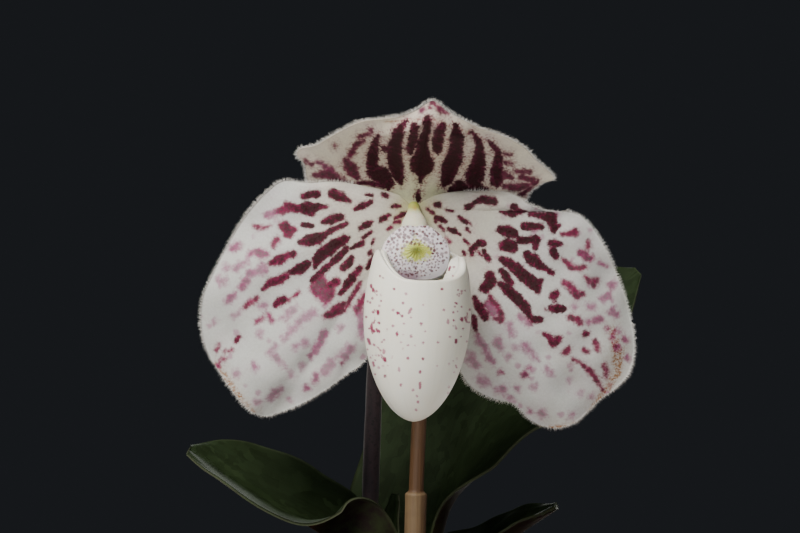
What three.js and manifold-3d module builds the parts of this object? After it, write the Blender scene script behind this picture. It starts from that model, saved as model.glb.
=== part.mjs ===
// A slipper orchid (Paphiopedilum, round spotted kind) in flower, growing in a small clay pot.
// Units are millimetres, +Z is up and the flower looks along -Y.
// The origin is the middle of the pot's flat base.

import * as THREE from 'three';
import { mergeVertices } from 'three/addons/utils/BufferGeometryUtils.js';
import Module from 'manifold-3d';

const wasm = await Module();
wasm.setup();

// ---------------------------------------------------------------- driving dimensions

const GAP = 0.3;                       // clear space between pieces that touch on the plant

const POT = { height: 75, rimRadius: 40, rimHeight: 15, footRadius: 27, wall: 3.6, floor: 5,
  holes: 5, holeRadius: 3.2, holeCircle: 15, sides: 44 };

const MIX = { level: 64.5, chips: 56, chipLength: [5, 10], chipDepth: [2.4, 4.2], reach: 29.5, seed: 7 };

const FAN = { x: -2.5, y: 4, azimuth: 55, foot: 61.5,
  outer: { keel: 9.5, half: 7.4, leg: 6.4, clasp: 5 },
  inner: { keel: 8.0, half: 6.1, leg: 7.3, clasp: 9.5 },
  young: { keel: 3.6, half: 2.0, leg: 2.4, clasp: 12 } };

const LEAF = { thickness: 0.9, along: 15, across: 6 };

const FLOWER = new THREE.Vector3(2.9, -20, 137.4);   // where petals, sepals, lip and column meet

const ORGAN = { thickness: 0.75, root: 2, along: 9 };

const POUCH = { wall: 0.9, turn: 30, rings: 15, middleX: 0.5, middleY: -13.2, depthRatio: 0.95,
  half: 8.35, widest: -17, bottom: -33.5, top: 0.5, roll: 1.1, sideRoll: [-0.4, 1.1] };

const STAMINODE = { width: 10.4, height: 9.0, bulge: 1.5, thickness: 1.2, notch: 0.09, notchHalf: 0.28,
  taper: 0.13, corners: 0.12, tilt: -14, middle: [0.25, -12.2, -7.1] };

const SCAPE = { radius: 1.4, sides: 10 };

const STAKE = { lowRadius: 1.75, highRadius: 1.2, sides: 12 };

// ---------------------------------------------------------------- helpers

const rad = THREE.MathUtils.degToRad;
const smooth = (low, high, x) => THREE.MathUtils.smoothstep(x, low, high);
const mix = THREE.MathUtils.lerp;

// A smooth curve through rows of numbers, with t from 0 to 1. Row i is reached at t = knots[i].
function spline(rows, t, knots = rows.map((_, i) => i / (rows.length - 1))) {
  const last = rows.length - 1;
  let i = 0;
  while (i < last - 1 && t > knots[i + 1]) i++;
  const span = knots[i + 1] - knots[i];
  const s = (t - knots[i]) / span;
  const slope = (from, to, k) => (rows[to][k] - rows[from][k]) / (knots[to] - knots[from]);
  return rows[i].map((value, k) => {
    const into = span * slope(Math.max(i - 1, 0), i + 1, k);
    const out = span * slope(i, Math.min(i + 2, last), k);
    return (2 * s ** 3 - 3 * s ** 2 + 1) * value + (s ** 3 - 2 * s ** 2 + s) * into
      + (3 * s ** 2 - 2 * s ** 3) * rows[i + 1][k] + (s ** 3 - s ** 2) * out;
  });
}

// The share of the whole length at which each row's point (its first three numbers) lies.
function chordKnots(rows) {
  const points = rows.map((row) => new THREE.Vector3(...row.slice(0, 3)));
  let length = 0;
  const reached = points.map((p, i) => (length += i ? p.distanceTo(points[i - 1]) : 0));
  return reached.map((distance) => distance / length);
}

// The same small random numbers on every run.
function seededRandom(seed) {
  let state = seed;
  return () => {
    state = (state * 1664525 + 1013904223) % 4294967296;
    return state / 4294967296;
  };
}

function signedVolume(points, faces) {
  let six = 0;
  for (const [a, b, c] of faces) {
    six += points[a].dot(new THREE.Vector3().crossVectors(points[b], points[c]));
  }
  return six / 6;
}

// Points and triangles as a geometry whose faces look outwards.
function closedGeometry(points, faces) {
  const turned = signedVolume(points, faces) < 0 ? faces.map(([a, b, c]) => [a, c, b]) : faces;
  const geometry = new THREE.BufferGeometry().setFromPoints(points);
  geometry.setIndex(turned.flat());
  return geometry;
}

// A sheet of points [row][column] thickened along its normals into a closed blade.
function blade(sheet, thickness) {
  const rows = sheet.length;
  const columns = sheet[0].length;
  const points = [];
  for (const side of [-0.5, 0.5]) {
    for (let i = 0; i < rows; i++) {
      for (let j = 0; j < columns; j++) {
        const along = sheet[Math.min(i + 1, rows - 1)][j].clone().sub(sheet[Math.max(i - 1, 0)][j]);
        const across = sheet[i][Math.min(j + 1, columns - 1)].clone().sub(sheet[i][Math.max(j - 1, 0)]);
        const normal = along.cross(across).normalize();
        points.push(sheet[i][j].clone().addScaledVector(normal, side * thickness));
      }
    }
  }
  const back = rows * columns;
  const at = (i, j) => i * columns + j;
  const faces = [];
  for (let i = 0; i < rows - 1; i++) {
    for (let j = 0; j < columns - 1; j++) {
      const [a, b, c, d] = [at(i, j), at(i + 1, j), at(i + 1, j + 1), at(i, j + 1)];
      faces.push([a, b, c], [a, c, d], [back + a, back + c, back + b], [back + a, back + d, back + c]);
    }
  }
  const edge = [];
  for (let j = 0; j < columns - 1; j++) edge.push(at(0, j));
  for (let i = 0; i < rows - 1; i++) edge.push(at(i, columns - 1));
  for (let j = columns - 1; j > 0; j--) edge.push(at(rows - 1, j));
  for (let i = rows - 1; i > 0; i--) edge.push(at(i, 0));
  edge.forEach((a, k) => {
    const b = edge[(k + 1) % edge.length];
    faces.push([a, b, back + b], [a, back + b, back + a]);
  });
  return closedGeometry(points, faces);
}

// Rings of points, each with the same count, joined into a solid with flat ends.
function loft(rings) {
  const count = rings[0].length;
  const points = rings.flat();
  const faces = [];
  for (let i = 0; i < rings.length - 1; i++) {
    for (let j = 0; j < count; j++) {
      const k = (j + 1) % count;
      const [a, b, c, d] = [i * count + j, i * count + k, (i + 1) * count + k, (i + 1) * count + j];
      faces.push([a, b, c], [a, c, d]);
    }
  }
  for (const [ring, turned] of [[0, true], [rings.length - 1, false]]) {
    const middle = points.length;
    const centre = new THREE.Vector3();
    rings[ring].forEach((p) => centre.add(p));
    points.push(centre.divideScalar(count));
    for (let j = 0; j < count; j++) {
      const a = ring * count + j;
      const b = ring * count + (j + 1) % count;
      faces.push(turned ? [middle, b, a] : [middle, a, b]);
    }
  }
  return closedGeometry(points, faces);
}

const evenly = (steps) => Array.from({ length: steps + 1 }, (_, i) => i / steps);

// A round stem along a curve, with a ring at each place from 0 to 1.
function stem(curve, radiusAt, places, sides, ribs = 0, ribDepth = 0) {
  const rings = [];
  for (const t of places) {
    const centre = curve.getPoint(t);
    const tangent = curve.getTangent(t);
    const sideways = new THREE.Vector3(1, 0, 0).cross(tangent).normalize();
    const upright = tangent.clone().cross(sideways).normalize();
    const ring = [];
    for (let j = 0; j < sides; j++) {
      const angle = 2 * Math.PI * j / sides;
      const radius = radiusAt(t) + ribDepth * Math.cos(ribs * angle);
      ring.push(centre.clone().addScaledVector(sideways, radius * Math.cos(angle))
        .addScaledVector(upright, radius * Math.sin(angle)));
    }
    rings.push(ring);
  }
  return loft(rings);
}

function toManifold(geometry) {
  const bare = geometry.clone();
  bare.deleteAttribute('normal');
  bare.deleteAttribute('uv');
  const merged = mergeVertices(bare, 1e-4);
  return new wasm.Manifold(new wasm.Mesh({ numProp: 3,
    vertProperties: new Float32Array(merged.attributes.position.array),
    triVerts: new Uint32Array(merged.index.array) }));
}

// The outer skin of the largest body, so small closed hollows between fused pieces are filled.
function fromManifold(solid) {
  const bodies = solid.decompose().sort((a, b) => b.volume() - a.volume());
  const mesh = bodies[0].getMesh();
  const geometry = new THREE.BufferGeometry();
  geometry.setAttribute('position', new THREE.BufferAttribute(mesh.vertProperties, 3));
  geometry.setIndex(new THREE.BufferAttribute(mesh.triVerts, 1));
  return geometry;
}

function piece(name, geometry, color, roughness) {
  const material = new THREE.MeshStandardMaterial({ color, roughness, metalness: 0 });
  const mesh = new THREE.Mesh(geometry, material);
  mesh.name = name;
  return mesh;
}

// ---------------------------------------------------------------- pot and potting mix

const potInside = (z) => mix(POT.footRadius - POT.wall, POT.rimRadius - POT.wall,
  (z - POT.floor) / (POT.height - POT.floor));

function makePot() {
  const shoulder = POT.height - POT.rimHeight;
  const outline = [[0, 0], [POT.footRadius - 0.8, 0], [POT.footRadius, 0.8],
    [POT.rimRadius - 3, shoulder - 1], [POT.rimRadius - 0.8, shoulder - 0.4],
    [POT.rimRadius, shoulder + 0.6], [POT.rimRadius, POT.height - 1.2], [POT.rimRadius - 1.1, POT.height],
    [POT.rimRadius - 2.6, POT.height], [potInside(POT.height), POT.height - 1],
    [potInside(POT.floor), POT.floor], [0, POT.floor]];
  const shell = new THREE.LatheGeometry(outline.map(([r, z]) => new THREE.Vector2(r, z)), POT.sides);
  shell.rotateX(Math.PI / 2);
  let pot = toManifold(shell);
  for (let k = 0; k < POT.holes; k++) {
    const angle = 2 * Math.PI * k / POT.holes;
    const drill = new THREE.CylinderGeometry(POT.holeRadius, POT.holeRadius, 3 * POT.floor, 14);
    drill.rotateX(Math.PI / 2);
    drill.translate(POT.holeCircle * Math.cos(angle), POT.holeCircle * Math.sin(angle), POT.floor / 2);
    pot = pot.subtract(toManifold(drill));
  }
  return fromManifold(pot);
}

// One chunk of bark: an uneven six-sided block.
function barkChip(random) {
  const length = mix(...MIX.chipLength, random());
  const width = length * mix(0.5, 0.85, random());
  const chip = new THREE.BoxGeometry(length, width, mix(...MIX.chipDepth, random()));
  const block = mergeVertices(chip.deleteAttribute('normal').deleteAttribute('uv'), 1e-3);
  const corners = block.attributes.position;
  for (let i = 0; i < corners.array.length; i++) corners.array[i] *= mix(0.7, 1.1, random());
  block.rotateX(mix(-0.45, 0.45, random()));
  block.rotateY(mix(-0.45, 0.45, random()));
  block.rotateZ(2 * Math.PI * random());
  return block;
}

// A straight-sided hole of oval plan, for what stands in the mix.
function plainHole(x, y, halfAlong, halfAcross, azimuth, bottom) {
  const height = POT.height + 10 - bottom;
  const hole = new THREE.CylinderGeometry(1, 1, height, 24);
  hole.rotateX(Math.PI / 2);
  hole.scale(halfAlong, halfAcross, 1);
  hole.rotateZ(rad(azimuth));
  hole.translate(x, y, bottom + height / 2);
  return toManifold(hole);
}

function makeMix() {
  const random = seededRandom(MIX.seed);
  const foot = POT.floor + GAP;
  const side = potInside(MIX.level) - 1.3 * GAP;
  const outline = [[0, foot], [potInside(foot) - 1.3 * GAP, foot], [side, MIX.level - 1],
    [side - 3, MIX.level], [0, MIX.level]];
  const core = new THREE.LatheGeometry(outline.map(([r, z]) => new THREE.Vector2(r, z)), 32);
  core.rotateX(Math.PI / 2);
  let solid = toManifold(core);
  const golden = Math.PI * (3 - Math.sqrt(5));
  for (let k = 0; k < MIX.chips; k++) {
    const chip = barkChip(random);
    const radius = MIX.reach * Math.sqrt((k + 0.5) / MIX.chips);
    const angle = k * golden + mix(-0.2, 0.2, random());
    chip.translate(radius * Math.cos(angle), radius * Math.sin(angle), MIX.level + mix(0.1, 1.6, random()));
    solid = solid.add(toManifold(chip));
  }
  const clear = 4 * GAP;
  solid = solid.subtract(plainHole(FAN.x, FAN.y, FAN.outer.keel + LEAF.thickness / 2 + clear,
    FAN.outer.half + LEAF.thickness / 2 + clear, FAN.azimuth, FAN.foot - 5));
  solid = solid.subtract(plainHole(stakeRoute[0][0], stakeRoute[0][1], STAKE.lowRadius + GAP,
    STAKE.lowRadius + GAP, 0, stakeRoute[0][2] - GAP));
  return fromManifold(solid);
}

// The short woody stock that leaves and flower stem rise from.
function makeCrown() {
  const { keel, half } = FAN.outer;
  const outline = [[0, 0], [0.72, 0], [0.95, 1], [1, 2.6], [0.96, 4.1], [0, 4.4]];
  const crown = new THREE.LatheGeometry(outline.map(([r, z]) => new THREE.Vector2(r, z)), 24);
  crown.rotateX(Math.PI / 2);
  crown.scale(keel, half, 1);
  crown.rotateZ(rad(FAN.azimuth));
  crown.translate(FAN.x, FAN.y, FAN.foot - 4.7);
  return crown;
}

// ---------------------------------------------------------------- leaves

// Each row of a blade is one place on the keel: x, y, z, half width, how far the edges stand above
// the keel, and the way that the upper face looks. The two rows at the foot follow from the fan.
const leafBlades = {
  leaf_left: { side: -1, ring: FAN.inner, color: 0x4c6b3a, rows: [
    [-9.6, -1.6, 81.5, 5.4, 8.6, 0.75, 0.35, 0.5],
    [-12.6, -1.4, 84.2, 6.2, 6.6, 0.55, -0.2, 0.8],
    [-17.6, -2.8, 87.4, 7.6, 4.6, 0.35, -0.57, 0.74],
    [-25.4, -4.4, 91.9, 7.4, 3.5, 0.38, -0.52, 0.76],
    [-30.8, -5.6, 95.4, 4.9, 2, 0.4, -0.5, 0.76],
    [-34.2, -6.3, 97.6, 1.3, 0.3, 0.4, -0.5, 0.76]] },
  leaf_right: { side: 1, ring: FAN.inner, color: 0x5d7a49, rows: [
    [6.5, 13.8, 83.6, 12.1, 10, -0.75, -0.63, 0.16],
    [10, 16.6, 93, 14.8, 7.5, -0.62, -0.73, 0.26],
    [14.6, 19.5, 103.7, 16.3, 5.5, -0.48, -0.8, 0.35],
    [24, 22.3, 114, 14.6, 4, -0.34, -0.83, 0.45],
    [35, 24.4, 121.5, 9, 2.2, -0.21, -0.83, 0.51],
    [42.6, 25.8, 127, 1, 0.2, -0.2, -0.8, 0.5]] },
  leaf_low_left: { side: -1, ring: FAN.outer, color: 0x43602f, rows: [
    [-12.5, -9, 73.5, 9, 4.6, 0.45, 0.4, 0.78],
    [-24, -16, 78.3, 11, 3.6, 0.1, 0, 1],
    [-38, -23, 79, 11, 3, -0.1, -0.1, 1],
    [-50, -28, 76.5, 8, 2, -0.3, -0.2, 0.93],
    [-58, -31, 73, 1, 0.2, -0.4, -0.25, 0.88]] },
  leaf_low_right: { side: 1, ring: FAN.outer, color: 0x4f6e3c, rows: [
    [7.5, 15, 72.5, 8.5, 4.6, -0.45, -0.5, 0.75],
    [14.5, 13, 78, 7.6, 3.6, -0.25, -0.2, 0.94],
    [21.6, 9.6, 83.4, 5, 2.4, -0.15, -0.25, 0.95],
    [27.2, 6.6, 87.4, 0.9, 0.2, -0.1, -0.3, 0.95]] },
  leaf_young: { side: 1, ring: FAN.young, color: 0x6f9a4a, rows: [
    [-0.6, 6.2, 79, 2.3, 2.6, -0.57, -0.82, 0],
    [-0.35, 6, 84.5, 1.8, 1.6, -0.5, -0.86, 0],
    [0, 5.4, 89.6, 0.7, 0.3, -0.5, -0.86, 0.1]] },
};

// The foot of a leaf clasps the fan: a half oval whose keel is outermost.
function leafFoot({ side, ring }, z) {
  const outward = new THREE.Vector2(Math.cos(rad(FAN.azimuth)), Math.sin(rad(FAN.azimuth)));
  outward.multiplyScalar(side);
  return [FAN.x + ring.keel * outward.x, FAN.y + ring.keel * outward.y, z, ring.half, ring.leg,
    -outward.x, -outward.y, 0];
}

function makeLeaf(leaf) {
  const { clasp } = leaf.ring;
  const feet = [0, 0.5, 1].map((share) => leafFoot(leaf, FAN.foot + share * clasp));
  const stations = [...feet, ...leaf.rows];
  const knots = chordKnots(stations);
  const round = 0.22;                                 // roundness of the groove along the keel
  const sheet = [];
  for (let i = 0; i <= LEAF.along; i++) {
    const t = i / LEAF.along;
    const here = spline(stations, t, knots);
    const keel = new THREE.Vector3(...here.slice(0, 3));
    const ahead = new THREE.Vector3(...spline(stations, Math.min(t + 0.01, 1), knots).slice(0, 3));
    const behind = new THREE.Vector3(...spline(stations, Math.max(t - 0.01, 0), knots).slice(0, 3));
    const along = ahead.sub(behind).normalize();
    const across = along.clone().cross(new THREE.Vector3(...here.slice(5, 8))).normalize();
    const upper = across.clone().cross(along);
    const folded = 1 - smooth(knots[2], knots[3] + 0.5 * (knots[3] - knots[2]), t);
    const row = [];
    for (let j = 0; j <= LEAF.across; j++) {
      const v = 2 * j / LEAF.across - 1;
      const groove = (Math.hypot(v, round) - round) / (Math.hypot(1, round) - round);
      const sideways = here[3] * mix(v, Math.sin(v * Math.PI / 2), folded);
      const lift = here[4] * mix(groove, 1 - Math.cos(v * Math.PI / 2), folded);
      row.push(keel.clone().addScaledVector(across, sideways).addScaledVector(upper, lift));
    }
    sheet.push(row);
  }
  return blade(sheet, LEAF.thickness);
}

// ---------------------------------------------------------------- stems

const scapeRoute = [[-4.6, 3, 61.5], [-4.4, 3, 76], [-4.2, 3.2, 92], [-3.5, 3.6, 110], [-2.7, 4, 123.4]];
const ovaryRoute = [[-2.5, 4, 123.9], [-1.7, 2.6, 129.5], [0.1, -2.6, 135], [1.9, -10, 137.4],
  [2.9, -17.6, 137.4]];
const stakeRoute = [[2.9, -9, 50], [3.2, -9, 86], [4.5, -9, 117]];

function route(points) {
  return new THREE.CatmullRomCurve3(points.map((p) => new THREE.Vector3(...p)), false, 'catmullrom');
}

// The seed vessel behind the flower: six shallow ribs, thickest at its middle.
function makeOvary() {
  const radiusAt = (t) => mix(1.6, 2.3, Math.sin(Math.PI * Math.min(t * 1.1, 1))) + 0.7 * smooth(0.9, 1, t);
  return stem(route(ovaryRoute), radiusAt, evenly(10), 18, 6, 0.18);
}

// The papery leaf that cups the foot of the seed vessel.
function makeBract() {
  const stations = [[-2.9, 6.9, 119.5, 2.6, 2.2], [-2.7, 7.3, 124, 3.8, 3.4], [-1.6, 6.3, 130, 3.8, 3.2],
    [0.2, 3.2, 136.4, 2.2, 1.5], [1, 1.4, 139.2, 0.6, 0.2]];
  const sheet = [];
  for (let i = 0; i <= 8; i++) {
    const [x, y, z, half, leg] = spline(stations, i / 8);
    const row = [];
    for (let j = -4; j <= 4; j++) {
      const turn = j * Math.PI / 8;
      row.push(new THREE.Vector3(x + half * Math.sin(turn), y - leg * (1 - Math.cos(turn)), z));
    }
    sheet.push(row);
  }
  return blade(sheet, 0.6);
}

// The cane has one joint, below which it is thicker.
function makeStake() {
  const joint = 0.57;
  const radiusAt = (t) => (t <= joint ? STAKE.lowRadius : STAKE.highRadius);
  return stem(route(stakeRoute), radiusAt, [0, 0.25, joint, joint + 0.015, 0.75, 1], STAKE.sides);
}

// ---------------------------------------------------------------- petals and sepals

// The rims are listed from one side of the root to the other, as x, y, z from the middle of the flower.
const petalLeftRim = [
  [-2.4, 0, 2.1], [-6.6, -0.2, 3.2], [-12.3, -0.6, 4.1], [-17.4, -1, 3.9], [-20.9, -1.2, 4.2],
  [-23.6, -1, 2.3], [-25.9, -0.4, -0.1], [-28, 0.4, -2.9], [-30.2, 0.2, -6.8], [-32.2, -0.8, -10.7],
  [-33.9, -0.8, -14.7], [-34.2, 0.4, -19.5], [-33.1, 1, -23.5], [-31.1, 0.2, -26.7], [-28.8, -0.9, -29.9],
  [-26.5, -0.6, -32.5], [-24.3, 0.6, -33.5], [-22.2, 0.9, -33.1], [-18.2, 0.2, -31.5], [-14.2, -0.2, -29.1],
  [-11, 0, -26.7], [-8.3, 0.1, -24.8], [-5.8, 0, -20.3], [-3.2, 0, -12.3], [-1.4, 0, -5.9], [-0.7, 0, -3.1]];

const petalRightRim = [
  [2.6, 0, 1.5], [5.4, -0.1, 2.4], [9.1, -0.4, 2.7], [13.8, -0.9, 2.5], [16.2, -1.6, 1.9],
  [18.1, -2.1, 0.6], [20.2, -1.6, -0.2], [22.2, -0.6, -0.6], [25.2, 0, -0.8], [27.2, -0.3, -1.8],
  [29.3, -0.9, -4.2], [31.1, -0.6, -7.3], [32.9, 0.4, -11.4], [34.6, 0.8, -16.2], [35.6, 0, -21.6],
  [35, -0.8, -26], [33, -0.2, -28.7], [30.3, 0.7, -30.7], [28.1, 0.2, -32.9], [26.1, -0.7, -34.5],
  [23.4, -0.5, -35.4], [21, 0.3, -35.1], [18.6, 0.6, -33.9], [16.2, 0.2, -31.5], [13, 0.3, -30.7],
  [9.8, 0.2, -29.1], [7.8, 0, -26.6], [5.8, 0, -20.3], [3.4, 0, -12.3], [1.6, 0, -5.9], [0.8, 0, -3.1]];

const dorsalRim = [
  [-3, 1.5, 0.2], [-7, 1.6, 0.5], [-13.4, 1.6, 1.1], [-16.4, 1.3, 2.8], [-17.1, 0.6, 4.7],
  [-17.4, -1, 6.9], [-18.6, -2.5, 8.4], [-17.9, -3.5, 9.4], [-15.4, -4.5, 9.9], [-12.5, -6.5, 11.5],
  [-8.5, -9, 13.3], [-4.6, -11, 13.7], [-2.2, -11.8, 14], [0.1, -12.2, 14.8], [1.7, -12.3, 15.8],
  [2.9, -12.3, 16.4], [3.9, -12.3, 15.9], [5, -12, 14.9], [7.4, -11.5, 13.6], [10.3, -10.5, 12.3],
  [14.3, -8.5, 11], [17.4, -6.5, 9.4], [19.4, -5, 7.4], [21.6, -3.5, 5.6], [22.2, -2.5, 4.5],
  [20.5, -1, 4], [18.6, 0.5, 2.6], [17.6, 1.2, 1.1], [13.8, 1.6, 0.4], [7.4, 1.6, 0.1], [3, 1.5, 0]];

const synsepalRim = [
  [2.2, 1.5, -2], [5.4, 1.5, -6.5], [6.8, 1.3, -12], [6.4, 1.2, -18], [4.2, 0.6, -23],
  [0.6, 0, -26], [-3, 0.6, -23], [-5.6, 1.2, -18], [-6.2, 1.3, -12], [-4.8, 1.5, -6.5], [-2, 1.5, -2]];

// A sheet that spreads from the root ring to the rim. Its depth is depthAt(u, rim depth, t, radius).
function spread(rim, across, depthAt) {
  const sheet = [];
  for (let i = 0; i <= ORGAN.along; i++) {
    const u = i / ORGAN.along;
    const row = [];
    for (let j = 0; j <= across; j++) {
      const t = j / across;
      const [x, y, z] = spline(rim, t);
      const reach = Math.hypot(x, z);
      const radius = mix(Math.min(ORGAN.root, reach - 0.2), reach, u);
      const point = new THREE.Vector3(x / reach * radius, depthAt(u, y, t, radius), z / reach * radius);
      row.push(point.add(FLOWER));
    }
    sheet.push(row);
  }
  return sheet;
}

// Petals swell a little towards the front, bend back at their far ends and wave along their rim.
function makePetal(rim) {
  const swell = -1.6;
  const bend = 3;
  const span = 36;
  const depthAt = (u, rimDepth, t, radius) => rimDepth * u ** 2 + bend * (radius / span) ** 3
    + swell * Math.sin(Math.PI * u) * Math.sin(Math.PI * t);
  return blade(spread(rim, rim.length - 1, depthAt), ORGAN.thickness);
}

// The upper sepal leans forward as a hood, and turns back up at its tip.
function makeDorsalSepal() {
  const root = 1.5;
  const fold = 0.82;
  const foldDepth = -13.6;
  const depthAt = (u, rimDepth, t) => {
    const bowl = mix(root, rimDepth, u ** 1.9);
    const hood = mix(root, foldDepth, Math.min(u / fold, 1) ** 1.7);
    const turned = mix(hood, rimDepth, smooth(fold - 0.06, 1, u));
    const middle = smooth(0.3, 0.46, t) * (1 - smooth(0.56, 0.68, t));
    return mix(bowl, turned, middle);
  };
  return blade(spread(dorsalRim, dorsalRim.length - 1, depthAt), ORGAN.thickness);
}

function makeSynsepal() {
  const depthAt = (u, rimDepth, t, radius) => mix(1.5, rimDepth, u ** 2)
    + 0.7 * Math.sin(Math.PI * u) * smooth(3, 9, radius);
  return blade(spread(synsepalRim, 20, depthAt), ORGAN.thickness);
}

// ---------------------------------------------------------------- lip and column

// Half width of the pouch at a height: an egg, blunter above its widest place than below.
function pouchHalf(z, inset) {
  const below = z < POUCH.widest;
  const reach = below ? POUCH.widest - POUCH.bottom - inset : POUCH.top - POUCH.widest;
  const power = below ? 1.85 : 2;
  const share = Math.min(Math.abs(z - POUCH.widest) / reach, 1);
  return (POUCH.half - inset) * (1 - share ** power) ** (1 / power);
}

// Height of the mouth's edge: angle from the front, height on the left, height on the right.
const pouchMouth = [[0, -11.4, -11.4], [18, -11.1, -11.4], [30, -10.3, -11.3], [43, -9.1, -11],
  [55, -7.9, -10.4], [68, -6.9, -9.6], [80, -6.6, -8.4], [92, -6.7, -7.8], [110, -6.9, -7.7],
  [135, -6.3, -6.7], [150, -5.3, -5.5], [162, -6.3, -6.4], [180, -6.8, -6.8]];

function lookUp(table, x, column) {
  const i = Math.max(0, Math.min(table.findIndex(([key]) => key >= x) - 1, table.length - 2));
  const t = (x - table[i][0]) / (table[i + 1][0] - table[i][0]);
  return spline(table, (i + t) / (table.length - 1))[column];
}

// The pouch is an egg-shaped bag, open at the top, whose edge is rolled inwards, most on its right.
function pouchSheet(inset) {
  const rings = [];
  const bowlShare = 0.55;
  const rollStart = 0.9;
  for (let i = 1; i <= POUCH.rings; i++) {
    const t = i / POUCH.rings;
    const bowl = Math.min(t / bowlShare, 1);
    const climb = Math.max(0, Math.min((t - bowlShare) / (rollStart + 0.03 - bowlShare), 1));
    const rolled = smooth(rollStart, 1, t);
    const ring = [];
    for (let j = 0; j < POUCH.turn; j++) {
      const angle = 2 * Math.PI * j / POUCH.turn;
      const fromFront = 360 * Math.min(j, POUCH.turn - j) / POUCH.turn;
      const low = POUCH.widest - (POUCH.widest - POUCH.bottom - inset) * Math.cos(bowl * Math.PI / 2);
      const level = mix(low, lookUp(pouchMouth, fromFront, j > POUCH.turn / 2 ? 1 : 2), climb);
      const sideRoll = POUCH.sideRoll[j > POUCH.turn / 2 ? 0 : 1];
      const roll = POUCH.roll + sideRoll * Math.exp(-(((fromFront - 62) / 26) ** 2));
      const half = pouchHalf(level, inset) - roll * rolled;
      const z = level - 0.5 * rolled;
      const lean = smooth(-9, -3.4, z) * 4.2;
      const middleX = POUCH.middleX * Math.min(1, (z - POUCH.bottom) / (POUCH.widest - POUCH.bottom))
        + 0.25 * smooth(-18, -9, z);
      ring.push(new THREE.Vector3(middleX + half * Math.sin(angle),
        POUCH.middleY + lean - half * POUCH.depthRatio * Math.cos(angle), z).add(FLOWER));
    }
    rings.push(ring);
  }
  return rings;
}

function makePouch() {
  const outer = pouchSheet(0);
  const inner = pouchSheet(POUCH.wall);
  const count = POUCH.turn;
  const points = [...outer.flat(), ...inner.flat()];
  const tips = [0, 0];
  [outer, inner].forEach((sheet, side) => {
    const tip = new THREE.Vector3(0, POUCH.middleY, POUCH.bottom + side * POUCH.wall);
    tips[side] = points.push(tip.add(FLOWER)) - 1;
  });
  const inside = POUCH.rings * count;
  const faces = [];
  for (let j = 0; j < count; j++) {
    const k = (j + 1) % count;
    for (let i = 0; i < POUCH.rings - 1; i++) {
      const [a, b, c, d] = [i * count + j, i * count + k, (i + 1) * count + k, (i + 1) * count + j];
      faces.push([a, b, c], [a, c, d]);
      faces.push([inside + a, inside + c, inside + b], [inside + a, inside + d, inside + c]);
    }
    const rim = (POUCH.rings - 1) * count;
    faces.push([tips[0], k, j], [tips[1], inside + j, inside + k]);
    faces.push([rim + j, rim + k, inside + rim + k], [rim + j, inside + rim + k, inside + rim + j]);
  }
  return closedGeometry(points, faces);
}

const columnRoute = [[0, 1.9, 0], [0, -0.9, -0.15], [0.1, -4.4, -2.6], [0.2, -8.3, -5]];

// The column carries two anthers at its sides and the stigma below.
function makeColumn() {
  const curve = route(columnRoute.map(([x, y, z]) => [x + FLOWER.x, y + FLOWER.y, z + FLOWER.z]));
  const trunk = stem(curve, (t) => 1.05 + 1.15 * smooth(0.25, 0.7, t), evenly(7), 16);
  let solid = toManifold(trunk);
  const swellings = [[1.9, -6.6, -4.5, 1, 1.3, 1], [-1.7, -6.6, -4.5, 1, 1.3, 1],
    [0.2, -6.8, -5.6, 2.1, 1.4, 1.1]];
  for (const [x, y, z, a, b, c] of swellings) {
    const ball = new THREE.SphereGeometry(1, 10, 7);
    ball.scale(a, b, c);
    ball.translate(FLOWER.x + x, FLOWER.y + y, FLOWER.z + z);
    solid = solid.add(toManifold(ball));
  }
  return fromManifold(solid);
}

// The shield in front of the column: a domed plate, narrower above, fuller below and notched at the top.
function makeStaminode() {
  const sheet = [];
  const turn = 26;
  for (let i = 0; i <= 5; i++) {
    const u = i / 5;
    const row = [];
    for (let j = 0; j < turn; j++) {
      const angle = 2 * Math.PI * j / turn;
      const fromTop = Math.min(angle, 2 * Math.PI - angle);
      const corners = Math.cos(angle) < 0 ? STAMINODE.corners * Math.sin(2 * angle) ** 2 : 0;
      const radius = u * (1 + corners - STAMINODE.notch * Math.exp(-((fromTop / STAMINODE.notchHalf) ** 2)));
      const z = STAMINODE.height / 2 * radius * Math.cos(angle);
      const half = STAMINODE.width / 2 * (1 - STAMINODE.taper * smooth(0, STAMINODE.height / 2, z));
      row.push(new THREE.Vector3(half * radius * Math.sin(angle), STAMINODE.bulge * (u ** 2 - 1), z));
    }
    sheet.push(row);
  }
  const points = [];
  const backShift = new THREE.Vector3(0, STAMINODE.thickness, 0);
  for (const shift of [new THREE.Vector3(), backShift]) {
    points.push(sheet[0][0].clone().add(shift));
    for (const row of sheet.slice(1)) for (const p of row) points.push(p.clone().add(shift));
  }
  const back = points.length / 2;
  const faces = [];
  const rim = 1 + 4 * turn;
  for (let j = 0; j < turn; j++) {
    const k = (j + 1) % turn;
    faces.push([0, 1 + j, 1 + k], [back, back + 1 + k, back + 1 + j]);
    for (let i = 0; i < 4; i++) {
      const inner = 1 + i * turn;
      const outer = inner + turn;
      const [a, b, c, d] = [inner + j, inner + k, outer + k, outer + j];
      faces.push([a, c, b], [a, d, c], [back + a, back + b, back + c], [back + a, back + c, back + d]);
    }
    faces.push([rim + j, back + rim + k, rim + k], [rim + j, back + rim + j, back + rim + k]);
  }
  const middle = new THREE.Vector3(...STAMINODE.middle).add(FLOWER);
  points.forEach((p) => p.applyAxisAngle(new THREE.Vector3(1, 0, 0), rad(STAMINODE.tilt)).add(middle));
  return closedGeometry(points, faces);
}

// ---------------------------------------------------------------- the plant

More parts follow.
